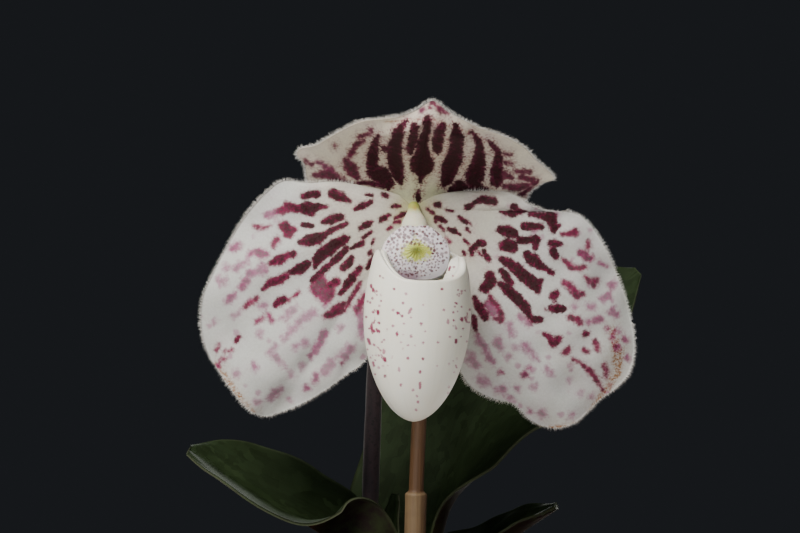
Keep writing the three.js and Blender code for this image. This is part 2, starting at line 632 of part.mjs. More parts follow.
const orchid = new THREE.Group();
orchid.add(piece('pot', makePot(), 0xb0643e, 0.85));
orchid.add(piece('potting_mix', makeMix(), 0x5a3b28, 0.95));
orchid.add(piece('crown', makeCrown(), 0x6b5a3a, 0.8));
for (const [name, leaf] of Object.entries(leafBlades)) {
  orchid.add(piece(name, makeLeaf(leaf), leaf.color, 0.45));
}
const scape = stem(route(scapeRoute), () => SCAPE.radius, evenly(12), SCAPE.sides);
orchid.add(piece('scape', scape, 0x5b4148, 0.8));
orchid.add(piece('bract', makeBract(), 0x6f7a45, 0.7));
orchid.add(piece('ovary', makeOvary(), 0x6a6a4a, 0.8));
orchid.add(piece('dorsal_sepal', makeDorsalSepal(), 0xd9d2c0, 0.6));
orchid.add(piece('synsepal', makeSynsepal(), 0xd6d2c4, 0.6));
orchid.add(piece('petal_left', makePetal(petalLeftRim), 0xe4e2dc, 0.6));
orchid.add(piece('petal_right', makePetal(petalRightRim), 0xe4e2dc, 0.6));
orchid.add(piece('pouch', makePouch(), 0xece8da, 0.4));
orchid.add(piece('column', makeColumn(), 0xe8e6c8, 0.4));
orchid.add(piece('staminode', makeStaminode(), 0xd8ccd8, 0.5));
orchid.add(piece('stake', makeStake(), 0xa4794a, 0.7));

export default orchid;
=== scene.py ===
# %% [markdown]
# # A spotted slipper orchid in its clay pot
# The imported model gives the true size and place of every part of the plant. Each part is made again here
# with the same formulas on a finer grid, so it keeps its form and gains veins, spots and hairs.
# All sizes below are millimetres, as a botanist would write them, and become metres in the meshes.

# %% Load the fixed frame
import math
import bpy
import numpy as np
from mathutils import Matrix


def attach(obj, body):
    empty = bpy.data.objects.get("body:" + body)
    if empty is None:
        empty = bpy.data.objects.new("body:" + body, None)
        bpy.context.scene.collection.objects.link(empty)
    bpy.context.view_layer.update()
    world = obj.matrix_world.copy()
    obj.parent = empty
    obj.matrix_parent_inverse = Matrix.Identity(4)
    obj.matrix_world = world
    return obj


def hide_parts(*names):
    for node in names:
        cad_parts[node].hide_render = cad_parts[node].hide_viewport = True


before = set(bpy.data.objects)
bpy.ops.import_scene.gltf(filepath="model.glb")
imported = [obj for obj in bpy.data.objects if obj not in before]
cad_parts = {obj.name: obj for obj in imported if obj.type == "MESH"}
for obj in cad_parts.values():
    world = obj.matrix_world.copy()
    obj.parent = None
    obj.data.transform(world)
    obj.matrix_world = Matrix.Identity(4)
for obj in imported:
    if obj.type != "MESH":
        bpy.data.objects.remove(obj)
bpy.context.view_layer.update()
MM = 0.001

# %% [markdown]
# ## Small helpers
# Plants are curves that swell and bend. Nearly every part here starts as rows of a few numbers, each row one
# place on the part, and one smooth curve runs through the rows. A sheet is a grid of points laid on such
# curves, and a blade is a sheet with thickness.

# %% Curves through rows of numbers
def mix(a, b, share):
    return a + (b - a) * share


def smooth(low, high, x):
    s = np.clip((x - low) / (high - low), 0, 1)
    return s * s * (3 - 2 * s)


def through(rows, t, knots=None):
    """The smooth curve through rows, at places t from 0 to 1. Row i is reached at knots[i]."""
    rows = np.asarray(rows, float)
    last = len(rows) - 1
    knots = np.linspace(0, 1, last + 1) if knots is None else knots
    t = np.atleast_1d(np.asarray(t, float))
    i = np.clip(np.searchsorted(knots, t, side="left") - 1, 0, last - 1)
    span = (knots[i + 1] - knots[i])[:, None]
    s = (t[:, None] - knots[i][:, None]) / span

    def slope(start, end):
        return (rows[end] - rows[start]) / (knots[end] - knots[start])[:, None]

    leaving = span * slope(np.maximum(i - 1, 0), i + 1)
    arriving = span * slope(i, np.minimum(i + 2, last))
    return ((2 * s**3 - 3 * s**2 + 1) * rows[i] + (s**3 - 2 * s**2 + s) * leaving
            + (3 * s**2 - 2 * s**3) * rows[i + 1] + (s**3 - s**2) * arriving)


def chord_knots(rows):
    steps = np.linalg.norm(np.diff(np.asarray(rows, float)[:, :3], axis=0), axis=1)
    reached = np.concatenate([[0], np.cumsum(steps)])
    return reached / reached[-1]


def unit(vectors):
    return vectors / np.maximum(np.linalg.norm(vectors, axis=-1, keepdims=True), 1e-12)


print("halfway through three rows:", through([[0.0], [1.0], [4.0]], 0.5)[0])

# %% [markdown]
# ## From points to Blender meshes
# A grid of points becomes faces by joining neighbours. The order of the corners decides which way a face
# looks, so the signed volume of each closed mesh is measured and the faces are turned when it is negative.
# Numbers that a finish needs, such as how deep inside a spot a point lies, travel with the points as
# attributes.

# %% Sheets and blades
def sheet_normals(sheet):
    along = np.gradient(sheet, axis=0)
    across = np.gradient(sheet, axis=1)
    return unit(np.cross(along, across))


def grid_faces(rows, columns, first=0, wrap=False):
    i, j = np.meshgrid(np.arange(rows - 1), np.arange(columns if wrap else columns - 1), indexing="ij")
    k = (j + 1) % columns
    corners = [i * columns + j, (i + 1) * columns + j, (i + 1) * columns + k, i * columns + k]
    return np.stack(corners, -1).reshape(-1, 4) + first


def blade_mesh(sheet, thickness, numbers):
    """A closed blade round a sheet. thickness is one number for each point; numbers are attributes."""
    rows, columns = sheet.shape[:2]
    normals = sheet_normals(sheet)
    half = thickness[..., None] / 2
    front, back = sheet - normals * half, sheet + normals * half
    size = rows * columns
    faces = [grid_faces(rows, columns), grid_faces(rows, columns, size)[:, ::-1]]
    edge = np.concatenate([np.arange(columns - 1), np.arange(rows - 1) * columns + columns - 1,
                           size - 1 - np.arange(columns - 1), (rows - 1 - np.arange(rows - 1)) * columns])
    following = np.roll(edge, -1)
    faces.append(np.stack([following, edge, edge + size, following + size], -1))
    points = np.concatenate([front.reshape(-1, 3), back.reshape(-1, 3)])
    numbers = {name: np.concatenate([np.ravel(values), np.ravel(values)]) for name, values in numbers.items()}
    numbers["front"] = np.repeat([1.0, 0.0], size)
    return points, np.concatenate(faces), numbers


print("a 3 by 3 grid has", len(grid_faces(3, 3)), "faces")


# %% Tubes and double-walled shells
def tube_rings(route, radius_at, places, sides, ribs=0, rib_depth=0.0):
    centre = through(route, places)
    ahead = through(route, np.minimum(places + 0.002, 1))
    tangent = unit(ahead - through(route, np.maximum(places - 0.002, 0)))
    sideways = unit(np.cross([1.0, 0, 0], tangent))
    upright = unit(np.cross(tangent, sideways))
    angle = 2 * np.pi * np.arange(sides) / sides
    radius = np.array([radius_at(t) for t in places])[:, None] + rib_depth * np.cos(ribs * angle)
    return (centre[:, None] + sideways[:, None] * (radius * np.cos(angle))[..., None]
            + upright[:, None] * (radius * np.sin(angle))[..., None])


def capped(rings):
    """Points and faces of a tube of rings whose two ends are closed by flat caps."""
    rows, columns = rings.shape[:2]
    points = np.concatenate([rings.reshape(-1, 3), rings[[0, -1]].mean(axis=1)])
    faces = [list(face) for face in grid_faces(rows, columns, wrap=True)]
    low, high = rows * columns, rows * columns + 1
    for j in range(columns):
        k = (j + 1) % columns
        faces.append([low, j, k])
        faces.append([high, (rows - 1) * columns + k, (rows - 1) * columns + j])
    return points, faces


def shell_faces(rows, columns, second, tips):
    """Two cups of rings joined at their rims; the second cup starts at point second, and tips close the ends."""
    faces = [list(face) for face in np.concatenate([grid_faces(rows, columns, wrap=True),
                                                    grid_faces(rows, columns, second, wrap=True)[:, ::-1]])]
    rim = (rows - 1) * columns
    for j in range(columns):
        k = (j + 1) % columns
        faces.append([tips[0], k, j])
        faces.append([tips[1], second + j, second + k])
        faces.append([rim + k, rim + j, second + rim + j, second + rim + k])
    return faces


print("three rings of four points close with", len(capped(np.zeros((3, 4, 3)))[1]), "faces")


# %% Points and faces become a named piece
def signed_volume(points, faces):
    """Above zero when the faces look outwards. A triangle counts as a square whose last two corners meet."""
    corners = np.array([[*face, face[-1]][:4] for face in faces])
    a, b, c, d = (points[corners[:, k]] for k in range(4))
    return (np.einsum("ij,ij->i", a, np.cross(b, c)) + np.einsum("ij,ij->i", a, np.cross(c, d))).sum() / 6


def piece(name, points, faces, material, nodes=(), numbers=None, turn=True):
    """A smooth closed mesh that rides on the plant's one body."""
    points, faces = np.asarray(points, float), [[int(k) for k in face] for face in faces]
    if turn and signed_volume(points, faces) < 0:
        faces = [face[::-1] for face in faces]
    mesh = bpy.data.meshes.new(name)
    mesh.from_pydata((points * MM).tolist(), [], faces)
    mesh.polygons.foreach_set("use_smooth", np.ones(len(mesh.polygons), bool))
    for label, values in (numbers or {}).items():
        layer = mesh.attributes.new(label, "FLOAT", "POINT")
        layer.data.foreach_set("value", np.asarray(values, np.float32))
    mesh.materials.append(material)
    thing = bpy.data.objects.new(name, mesh)
    bpy.context.scene.collection.objects.link(thing)
    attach(thing, "root")
    if nodes:
        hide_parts(*nodes)
    print(f"{name}: {len(mesh.polygons)} faces")
    return thing


# %% [markdown]
# ## Materials by hand
# Every finish is built from nodes. One helper adds a node, sets its values and makes its links, and one
# function turns the hex colours that a painter would pick into Blender's linear numbers.

# %% The node helper and the colour function
MATH, NOISE, CELLS = "ShaderNodeMath", "ShaderNodeTexNoise", "ShaderNodeTexVoronoi"
MIX, RANGE, ATTRIBUTE = "ShaderNodeMix", "ShaderNodeMapRange", "ShaderNodeAttribute"
SOFT = {"interpolation_type": "SMOOTHSTEP"}     # for a range whose ends are eased


def output_of(source):
    """A node stands for the first of its outputs that is in use; anything else stays as it is."""
    return next(o for o in source.outputs if o.enabled) if isinstance(source, bpy.types.Node) else source


def add(tree, kind, links=None, **settings):
    """Adds a node; links gives its inputs, each a value, a node or one of a node's outputs."""
    node = tree.nodes.new(kind)
    for name, value in settings.items():
        setattr(node, name, value)
    for socket, source in (links or {}).items():
        source = output_of(source)
        if isinstance(source, bpy.types.NodeSocket):
            tree.links.new(source, node.inputs[socket])
        else:
            node.inputs[socket].default_value = source
    return node


def colour(text):
    parts = [int(text[i:i + 2], 16) / 255 for i in (1, 3, 5)]
    return tuple(v / 12.92 if v <= 0.04045 else ((v + 0.055) / 1.055) ** 2.4 for v in parts) + (1.0,)


def per_metre(size):
    """The texture scale at which one feature is size millimetres wide."""
    return 1000 / size


def new_material(name, **surface):
    """A material with its Principled shader, whose plain values are set on its own sockets."""
    material = bpy.data.materials.new(name)
    material.use_nodes = True
    tree = material.node_tree
    shader = tree.nodes["Principled BSDF"]
    for socket, value in surface.items():
        shader.inputs[socket.replace("_", " ")].default_value = value
    place = add(tree, "ShaderNodeTexCoord").outputs["Object"]
    return material, tree, shader, place


def dress(tree, shader, paint, relief, strength, depth):
    """Joins a finish to its shader: its colours, and its relief of so many millimetres at full strength."""
    bump = add(tree, "ShaderNodeBump", {"Height": relief, "Strength": strength, "Distance": depth * MM})
    tree.links.new(output_of(paint), shader.inputs["Base Color"])
    tree.links.new(output_of(bump), shader.inputs["Normal"])


def hair_finish(name, dark, light, roughness):
    """Plant hairs, dry and see-through: they scatter the light like dust, each a little lighter or darker."""
    material, tree, shader, place = new_material(name, Roughness=roughness, Sheen_Weight=0.3)
    shade = add(tree, NOISE, {"Vector": place, "Scale": per_metre(3)})
    shade = add(tree, MIX, {0: shade, 6: colour(dark), 7: colour(light)}, data_type="RGBA")
    tree.links.new(output_of(shade), shader.inputs["Base Color"])
    return material


print("white in linear numbers:", [round(v, 3) for v in colour("#ffffff")])

# %% [markdown]
# ## Camera, floor and soft light
# The flower is seen straight on and level, from nearly half a metre away with a long lens, which keeps
# petals and pouch in true proportion. A sun lamp would cut hard shadows into the hood, so every light is a
# wide disk: one high in front on the left models petals and pouch, a weak one low in front opens the shadows,
# and one from behind catches the hairs along the edges. The surround is dark grey, because white hairs
# can't be seen against a pale one.

# %% Camera
VIEW_DISTANCE = 460.0       # from the camera to the middle of the flower
CAMERA = np.array([0.7, -480.0, 128.0])
GRID_STEP = 0.16            # mm across one step of the front view at the flower
GRID_MIDDLE = np.array([400.0, 266.5])

camera = bpy.data.objects.new("front_camera", bpy.data.cameras.new("front_camera"))
camera.location = CAMERA * MM
camera.rotation_euler = (math.pi / 2, 0, 0)
camera.data.sensor_width = 36
camera.data.lens = 36 * VIEW_DISTANCE / (GRID_STEP * 2 * GRID_MIDDLE[0])
camera.data.clip_start = 0.01
bpy.context.scene.collection.objects.link(camera)
bpy.context.scene.camera = camera
print("lens", round(camera.data.lens, 1), "mm")

# %% Three lamps and a dark surround
LIT_PLACE = (0, -20, 120)   # all lamps look here, at the middle of the flower

for name, place, size, power, tint in (
        ("key_lamp", (-190, -320, 480), 260, 4.5, "#fffaf2"),
        ("fill_lamp", (-140, -520, 20), 420, 0.8, "#eef3ff"),
        ("back_lamp", (120, 380, 330), 260, 3.0, "#ffffff")):
    lamp = bpy.data.lights.new(name, "AREA")
    lamp.shape = "DISK"
    lamp.size = size * MM
    lamp.energy = power
    lamp.color = colour(tint)[:3]
    holder = bpy.data.objects.new(name, lamp)
    holder.location = np.array(place) * MM
    aim = np.array(LIT_PLACE) - np.array(place)
    holder.rotation_euler = (math.acos(-aim[2] / np.linalg.norm(aim)), 0, math.atan2(aim[1], aim[0]) - math.pi / 2)
    bpy.context.scene.collection.objects.link(holder)

world = bpy.data.worlds.new("studio")
world.use_nodes = True
world.node_tree.nodes["Background"].inputs["Color"].default_value = colour("#1c1e21")
bpy.context.scene.world = world

# %% The floor
# A board with a coat of matt wall paint: even and pale, so that only the plant's shadow marks it.
FLOOR = {"radius": 600, "sides": 96, "below": 0.05}

floor_material, tree, shader, place = new_material("pale painted board", Roughness=0.8)
grain = add(tree, NOISE, {"Vector": place, "Scale": per_metre(40), "Detail": 3.0})
tinted = add(tree, MIX, {0: grain, 6: colour("#d8d6d2"), 7: colour("#e2e0dc")}, data_type="RGBA")
tree.links.new(output_of(tinted), shader.inputs["Base Color"])
angles = np.linspace(0, 2 * np.pi, FLOOR["sides"], endpoint=False)
floor_mesh = bpy.data.meshes.new("floor")
rim = np.stack([FLOOR["radius"] * np.cos(angles), FLOOR["radius"] * np.sin(angles),
                np.full(FLOOR["sides"], -FLOOR["below"])], -1)
floor_mesh.from_pydata((rim * MM).tolist(), [], [list(range(FLOOR["sides"]))])
floor_mesh.materials.append(floor_material)
floor = bpy.data.objects.new("floor", floor_mesh)
bpy.context.scene.collection.objects.link(floor)
print("floor", 2 * FLOOR["radius"], "mm wide")

# %% [markdown]
# ## The clay pot
# A terracotta pot is thrown or pressed, then fired without glaze, so it is matt, slightly gritty and stained
# by water and lime. Its outline turned round an axis gives the wall, the thick rim and the foot; five drain
# holes are then bored through the floor with a Boolean modifier, as a potter does with a drill.

# %% Terracotta
# Unglazed clay, thrown or pressed and fired: matt orange-brown, with a fine grit, faint turning marks 2.4 mm
# apart and a white bloom of lime that rises from the foot.
terracotta, tree, shader, place = new_material("fired terracotta", Roughness=0.88)
cloud = add(tree, NOISE, {"Vector": place, "Scale": per_metre(22), "Detail": 5.0, "Roughness": 0.6})
grit = add(tree, NOISE, {"Vector": place, "Scale": per_metre(0.7), "Detail": 3.0})
split = add(tree, "ShaderNodeSeparateXYZ", {0: place})
clay = add(tree, MIX, {0: cloud, 6: colour("#a9603c"), 7: colour("#c57a50")}, data_type="RGBA")
speck = add(tree, RANGE, {"Value": grit, "From Min": 0.6, "From Max": 0.72})
clay = add(tree, MIX, {0: speck, 6: clay, 7: colour("#8a4b30")}, data_type="RGBA")
lime_height = add(tree, RANGE, {"Value": split.outputs["Z"], "From Max": 0.03,
                                "To Min": 0.5, "To Max": 0.06})
lime_cloud = add(tree, RANGE, {"Value": cloud, "From Min": 0.46, "From Max": 0.66})
lime = add(tree, MATH, {0: lime_height, 1: lime_cloud}, operation="MULTIPLY")
clay = add(tree, MIX, {0: lime, 6: clay, 7: colour("#d9cbb8")}, data_type="RGBA")
turning = add(tree, "ShaderNodeTexWave", {"Vector": place, "Scale": per_metre(2.4) / (2 * math.pi),
                                          "Distortion": 1.5, "Detail": 2.0}, bands_direction="Z").outputs["Fac"]
relief = add(tree, MATH, {0: turning, 1: 0.25}, operation="MULTIPLY")
relief = add(tree, MATH, {0: grit, 1: relief}, operation="ADD")
dress(tree, shader, clay, relief, 0.35, 0.25)
print("terracotta nodes:", len(tree.nodes))

# %% The pot's wall and rim
POT = {"height": 75, "rim_radius": 40, "foot_radius": 27, "wall": 3.6, "floor": 5, "sides": 168,
       "holes": 5, "hole_radius": 3.2, "hole_circle": 15, "drill_length": 15}


def pot_inside(z):
    """The inside radius at height z."""
    low, high = POT["foot_radius"] - POT["wall"], POT["rim_radius"] - POT["wall"]
    return mix(low, high, (z - POT["floor"]) / (POT["height"] - POT["floor"]))


outline = [[0, 0], [13, 0], [26.2, 0], [26.75, 0.25], [27, 0.8], [29, 14], [33, 37], [36.9, 58.7], [37.6, 59.2],
           [39.2, 59.6], [39.85, 60], [40, 60.8], [40, 67], [40, 73.6], [39.7, 74.5], [38.9, 75], [37.5, 75],
           [36.75, 74.7], [36.4, 74], [33, 58], [28, 30], [23.9, 7], [23, 5.3], [22, 5], [11, 5], [0, 5]]
profile = through(outline, np.linspace(0, 1, 151), chord_knots(outline))
profile[:, 0] = np.clip(profile[:, 0], 0.0, POT["rim_radius"])
profile[:, 1] = np.clip(profile[:, 1], 0.0, POT["height"])
turns = np.linspace(0, 2 * np.pi, POT["sides"], endpoint=False)
rings = np.stack([profile[1:-1, 0, None] * np.cos(turns), profile[1:-1, 0, None] * np.sin(turns),
                  np.repeat(profile[1:-1, 1, None], POT["sides"], 1)], -1)
points, faces = capped(rings)
pot = piece("pot_wall", points, faces, terracotta, ["pot"])

# %% Drain holes
drills = []
for k in range(POT["holes"]):
    angle = 2 * math.pi * k / POT["holes"]
    where = np.array([POT["hole_circle"] * math.cos(angle), POT["hole_circle"] * math.sin(angle), POT["floor"] / 2])
    bpy.ops.mesh.primitive_cylinder_add(vertices=32, radius=POT["hole_radius"] * MM,
                                        depth=POT["drill_length"] * MM, location=where * MM)
    drills.append(bpy.context.object)
for drill in drills:
    cut = pot.modifiers.new("drain_hole", "BOOLEAN")
    cut.object = drill
    cut.operation = "DIFFERENCE"
    cut.solver = "EXACT"
bored = bpy.data.meshes.new_from_object(pot.evaluated_get(bpy.context.evaluated_depsgraph_get()))
pot.modifiers.clear()
pot.data = bored
for drill in drills:
    bpy.data.objects.remove(drill)
print("pot after boring:", len(pot.data.polygons), "faces")

# %% [markdown]
# ## Bark and its chips
# Slipper orchids grow in bark, not soil. The large chips are blocks with uneven corners, strewn by the
# golden angle so they never line up. Geometry Nodes scatter the fine crumbs that fill the gaps between them,
# because hundreds of small copies are one short tree of nodes instead of hundreds of lines.

# %% Bark
# Damp fir bark, chopped and sieved: quite matt, each chip its own brown, with dark splits along the grain.
# The splits are drawn 0.9 mm apart, coarser than real ones, so that they still show.
bark, tree, shader, place = new_material("fir bark", Roughness=0.92)
shade = add(tree, NOISE, {"Vector": place, "Scale": per_metre(5), "Detail": 4.0})
chip_tone = add(tree, CELLS, {"Vector": place, "Scale": per_metre(8)}).outputs["Color"]
fibre_place = add(tree, "ShaderNodeMapping", {"Vector": place, "Scale": (1.0, 0.25, 1.0)})
fibre = add(tree, NOISE, {"Vector": fibre_place, "Scale": per_metre(0.9), "Detail": 4.0})
brown = add(tree, MIX, {0: shade, 6: colour("#3a2417"), 7: colour("#8a5a38")}, data_type="RGBA")
tone = add(tree, RANGE, {"Value": chip_tone, "To Max": 0.55})
brown = add(tree, MIX, {0: tone, 6: brown, 7: colour("#6b3f28")}, data_type="RGBA")
split_fibre = add(tree, RANGE, {"Value": fibre, "From Min": 0.35, "From Max": 0.65})
brown = add(tree, MIX, {0: split_fibre, 6: colour("#2c1c13"), 7: brown}, data_type="RGBA")
dress(tree, shader, brown, fibre, 0.7, 0.4)
print("bark nodes:", len(tree.nodes))

# %% One bark chip
BARK = {"level": 64.5, "chips": 56, "length": (5, 10), "depth": (2.4, 4.2), "reach": 29.5, "seed": 7,
        "fan_gap": 9, "sunk": 2.2}
FAN = {"x": -2.5, "y": 4.0, "azimuth": math.radians(55), "foot": 61.5}


def small_numbers(seed):
    """The same even random numbers as the construction uses, so each chip lies where its solid lies."""
    state = seed
    while True:
        state = (state * 1664525 + 1013904223) % 4294967296
        yield state / 4294967296


def turned(points, axis, angle):
    c, s = math.cos(angle), math.sin(angle)
    a, b = [(1, 2), (2, 0), (0, 1)][axis]
    result = points.copy()
    result[:, a] = c * points[:, a] - s * points[:, b]
    result[:, b] = s * points[:, a] + c * points[:, b]
    return result


BOX_CORNERS = np.array([[1, 1, 1], [1, 1, -1], [1, -1, 1], [1, -1, -1], [-1, 1, -1], [-1, 1, 1], [-1, -1, -1],
                        [-1, -1, 1]]) / 2
CUBE_SIDES = [(0, 2, 3, 1), (4, 6, 7, 5), (4, 5, 0, 1), (7, 6, 3, 2), (5, 7, 2, 0), (6, 4, 1, 3)]


def chip_surface(corners, cuts=7):
    """A block with these eight corners, its edges worn round and each face cut into a grid of squares."""
    points, faces = [], []
    s = np.linspace(0, 1, cuts + 1)
    for side in CUBE_SIDES:
        a, b, c, d = (corners[k] for k in side)
        u, v = np.meshgrid(s, s, indexing="ij")
        u, v = u[..., None], v[..., None]
        patch = (1 - u) * (1 - v) * a + u * (1 - v) * b + u * v * c + (1 - u) * v * d
        faces.append(grid_faces(cuts + 1, cuts + 1, first=len(points) * (cuts + 1) ** 2))
        points.append(patch.reshape(-1, 3))
    points, faces = np.concatenate(points), np.concatenate(faces)
    middle = corners.mean(0)
    away = points - middle
    reach = np.linalg.norm(away, axis=1, keepdims=True)
    worn = np.minimum(reach, np.linalg.norm(corners - middle, axis=1).mean() * 0.84)
    return middle + away / reach * worn, faces


print("a chip has", len(chip_surface(BOX_CORNERS)[1]), "faces")

# %% Chips strewn by the golden angle
draw = small_numbers(BARK["seed"])
golden = math.pi * (3 - math.sqrt(5))
chips, chip_faces, first = [], [], 0
for k in range(BARK["chips"]):
    length = mix(*BARK["length"], next(draw))
    width = length * mix(0.5, 0.85, next(draw))
    size = np.array([length, width, mix(*BARK["depth"], next(draw))])
    corners = BOX_CORNERS * size
    for row in corners:
        for axis in range(3):
            row[axis] *= mix(0.7, 1.1, next(draw))
    corners = turned(corners, 0, mix(-0.45, 0.45, next(draw)))
    corners = turned(corners, 1, mix(-0.45, 0.45, next(draw)))
    corners = turned(corners, 2, 2 * math.pi * next(draw))
    radius = BARK["reach"] * math.sqrt((k + 0.5) / BARK["chips"])
    angle = k * golden + mix(-0.2, 0.2, next(draw))
    x, y = radius * math.cos(angle), radius * math.sin(angle)
    corners = corners + [x, y, BARK["level"] + mix(0.1, 1.6, next(draw))]
    if math.hypot(x - FAN["x"], y - FAN["y"]) < BARK["fan_gap"]:
        corners[:, 2] -= BARK["sunk"]
    surface, sides = chip_surface(corners)
    chips.append(surface)
    chip_faces.append(sides + first)
    first += len(surface)
chips = np.concatenate(chips)
chips[:, 2] += 0.18 * np.sin(chips[:, 0] * 3.1 + chips[:, 2] * 2.3) * np.cos(chips[:, 1] * 2.7)
piece("bark_chips", chips, np.concatenate(chip_faces), bark, turn=False)

# %% The bed under the chips
TOP_RINGS = 70              # rings of the bed's uneven top; four more go down the pot's wall and to its floor
side = pot_inside(BARK["level"]) - 0.4
radii = np.concatenate([np.linspace(0.5, side - 0.6, TOP_RINGS), [side, side, side - 10, 12]])
levels = np.concatenate([np.zeros(TOP_RINGS), [-1.2, -12, -54, -58.8]]) + BARK["level"] - 0.4
angles = np.linspace(0, 2 * np.pi, 140, endpoint=False)
x, y = radii[:, None] * np.cos(angles), radii[:, None] * np.sin(angles)
bumps = 0.45 * np.sin(x * 1.3 + 2 * np.cos(y * 0.7)) * np.cos(y * 1.1 + np.sin(x * 0.9))
hollow = np.exp(-(((x - FAN["x"]) / 9) ** 2 + ((y - FAN["y"]) / 9) ** 2) ** 2) * 3.0
z = levels[:, None] + np.where(np.arange(len(radii))[:, None] < TOP_RINGS, bumps - hollow - 0.3, 0)
points, faces = capped(np.stack([x, y, z], -1))
piece("bark_bed", points, faces, bark, ["potting_mix"])

# %% [markdown]
# ## One tree of nodes for crumbs, and one for hairs
# Both scatter points on the faces of a mesh, put a small shape on each, turn and size it at random and then
# make the copies real. The hair tree is used again and again: an orchid's stem, ovary and petal edges are
# all downy, and only the hairs' number, length and thickness differ.

# %% A scatter tree with named inputs
FLOAT, SOCKET_IN = "NodeSocketFloat", "INPUT"


def scatter_tree(name, hair):
    """Copies on a surface: three-sided hairs that stand on it, or crumbs that lie on it in any turn."""
    tree = bpy.data.node_groups.new(name, "GeometryNodeTree")
    sockets = {}
    for label, kind in (("Surface", "NodeSocketGeometry"), ("Count per square metre", FLOAT), ("Length", FLOAT),
                        ("Thickness", FLOAT), ("Lean", FLOAT), ("Seed", "NodeSocketInt"),
                        ("Finish", "NodeSocketMaterial")):
        sockets[label] = tree.interface.new_socket(label, in_out=SOCKET_IN, socket_type=kind).identifier
    tree.interface.new_socket("Copies", in_out="OUTPUT", socket_type="NodeSocketGeometry")
    given = add(tree, "NodeGroupInput").outputs
    points = add(tree, "GeometryNodeDistributePointsOnFaces",
                 {"Mesh": given["Surface"], "Density": given["Count per square metre"], "Seed": given["Seed"]})
    if hair:
        shape = add(tree, "GeometryNodeMeshCone", {"Vertices": 3, "Radius Top": 0.0, "Radius Bottom": 1.0,
                                                   "Depth": 1.0}, fill_type="NGON")
    else:
        shape = add(tree, "GeometryNodeMeshIcoSphere", {"Radius": 1.0, "Subdivisions": 2})
    lean = given["Lean"]
    high = add(tree, "ShaderNodeCombineXYZ", {0: lean, 1: lean, 2: math.pi})
    low = add(tree, "ShaderNodeVectorMath", {0: high, 1: (-1.0, -1.0, -1.0)}, operation="MULTIPLY")
    turn = add(tree, "FunctionNodeRandomValue", {0: low, 1: high, "Seed": given["Seed"]}, data_type="FLOAT_VECTOR")
    turn = add(tree, "FunctionNodeEulerToRotation", {0: turn})
    turn = add(tree, "FunctionNodeRotateRotation", {"Rotation": points.outputs["Rotation"], "Rotate By": turn},
               rotation_space="LOCAL")
    share = add(tree, "FunctionNodeRandomValue", {2: 0.4, 3: 1.0, "Seed": given["Seed"]}, data_type="FLOAT")
    length = add(tree, MATH, {0: given["Length"], 1: share}, operation="MULTIPLY")
    thick = given["Thickness"]
    if not hair:
        thick = add(tree, MATH, {0: thick, 1: share}, operation="MULTIPLY")
    size = add(tree, "ShaderNodeCombineXYZ", {0: thick, 1: length if not hair else thick,
                                              2: length if hair else thick})
    copies = add(tree, "GeometryNodeInstanceOnPoints", {"Points": points.outputs["Points"], "Instance": shape,
                                                        "Rotation": turn, "Scale": size})
    real = add(tree, "GeometryNodeRealizeInstances", {0: copies})
    painted = add(tree, "GeometryNodeSetMaterial", {"Geometry": real, "Material": given["Finish"]})
    add(tree, "NodeGroupOutput", {"Copies": painted})
    return tree, sockets


HAIRS, HAIR_SOCKETS = scatter_tree("downy_hairs", hair=True)
CRUMBS, CRUMB_SOCKETS = scatter_tree("bark_crumbs", hair=False)
print("hair tree nodes:", len(HAIRS.nodes))


# %% Running a tree, first for the fine bark between the chips
def scattered(name, points, faces, tree, sockets, material, count, length, thickness, lean, seed):
    """Runs a scatter tree on a bare surface and keeps only the copies, as a piece."""
    mesh = bpy.data.meshes.new(name)
    mesh.from_pydata((np.asarray(points) * MM).tolist(), [], [list(face) for face in faces])
    thing = bpy.data.objects.new(name, mesh)
    bpy.context.scene.collection.objects.link(thing)
    modifier = thing.modifiers.new("scatter", "NODES")
    modifier.node_group = tree
    values = {"Count per square metre": count * 1e6, "Length": length * MM, "Thickness": thickness * MM / 2,
              "Lean": lean, "Seed": seed, "Finish": material}
    for label, value in values.items():
        modifier[sockets[label]] = value
    thing.update_tag()
    graph = bpy.context.evaluated_depsgraph_get()
    made = bpy.data.meshes.new_from_object(thing.evaluated_get(graph), depsgraph=graph)
    thing.modifiers.clear()
    thing.data = made
    made.polygons.foreach_set("use_smooth", np.ones(len(made.polygons), bool))
    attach(thing, "root")
    print(f"{name}: {len(made.polygons)} faces")
    return thing


ring_angles = np.linspace(0, 2 * np.pi, 48, endpoint=False)
ring_radii = np.linspace(BARK["fan_gap"], 33.0, 8)
ground = np.stack([ring_radii[:, None] * np.cos(ring_angles), ring_radii[:, None] * np.sin(ring_angles),
                   np.full((8, 48), BARK["level"] + 0.2)], -1).reshape(-1, 3)
ground_faces = grid_faces(8, 48, wrap=True)
scattered("bark_crumbs", ground, ground_faces, CRUMBS, CRUMB_SOCKETS, bark,
          count=0.16, length=1.9, thickness=1.5, lean=3.1, seed=4)
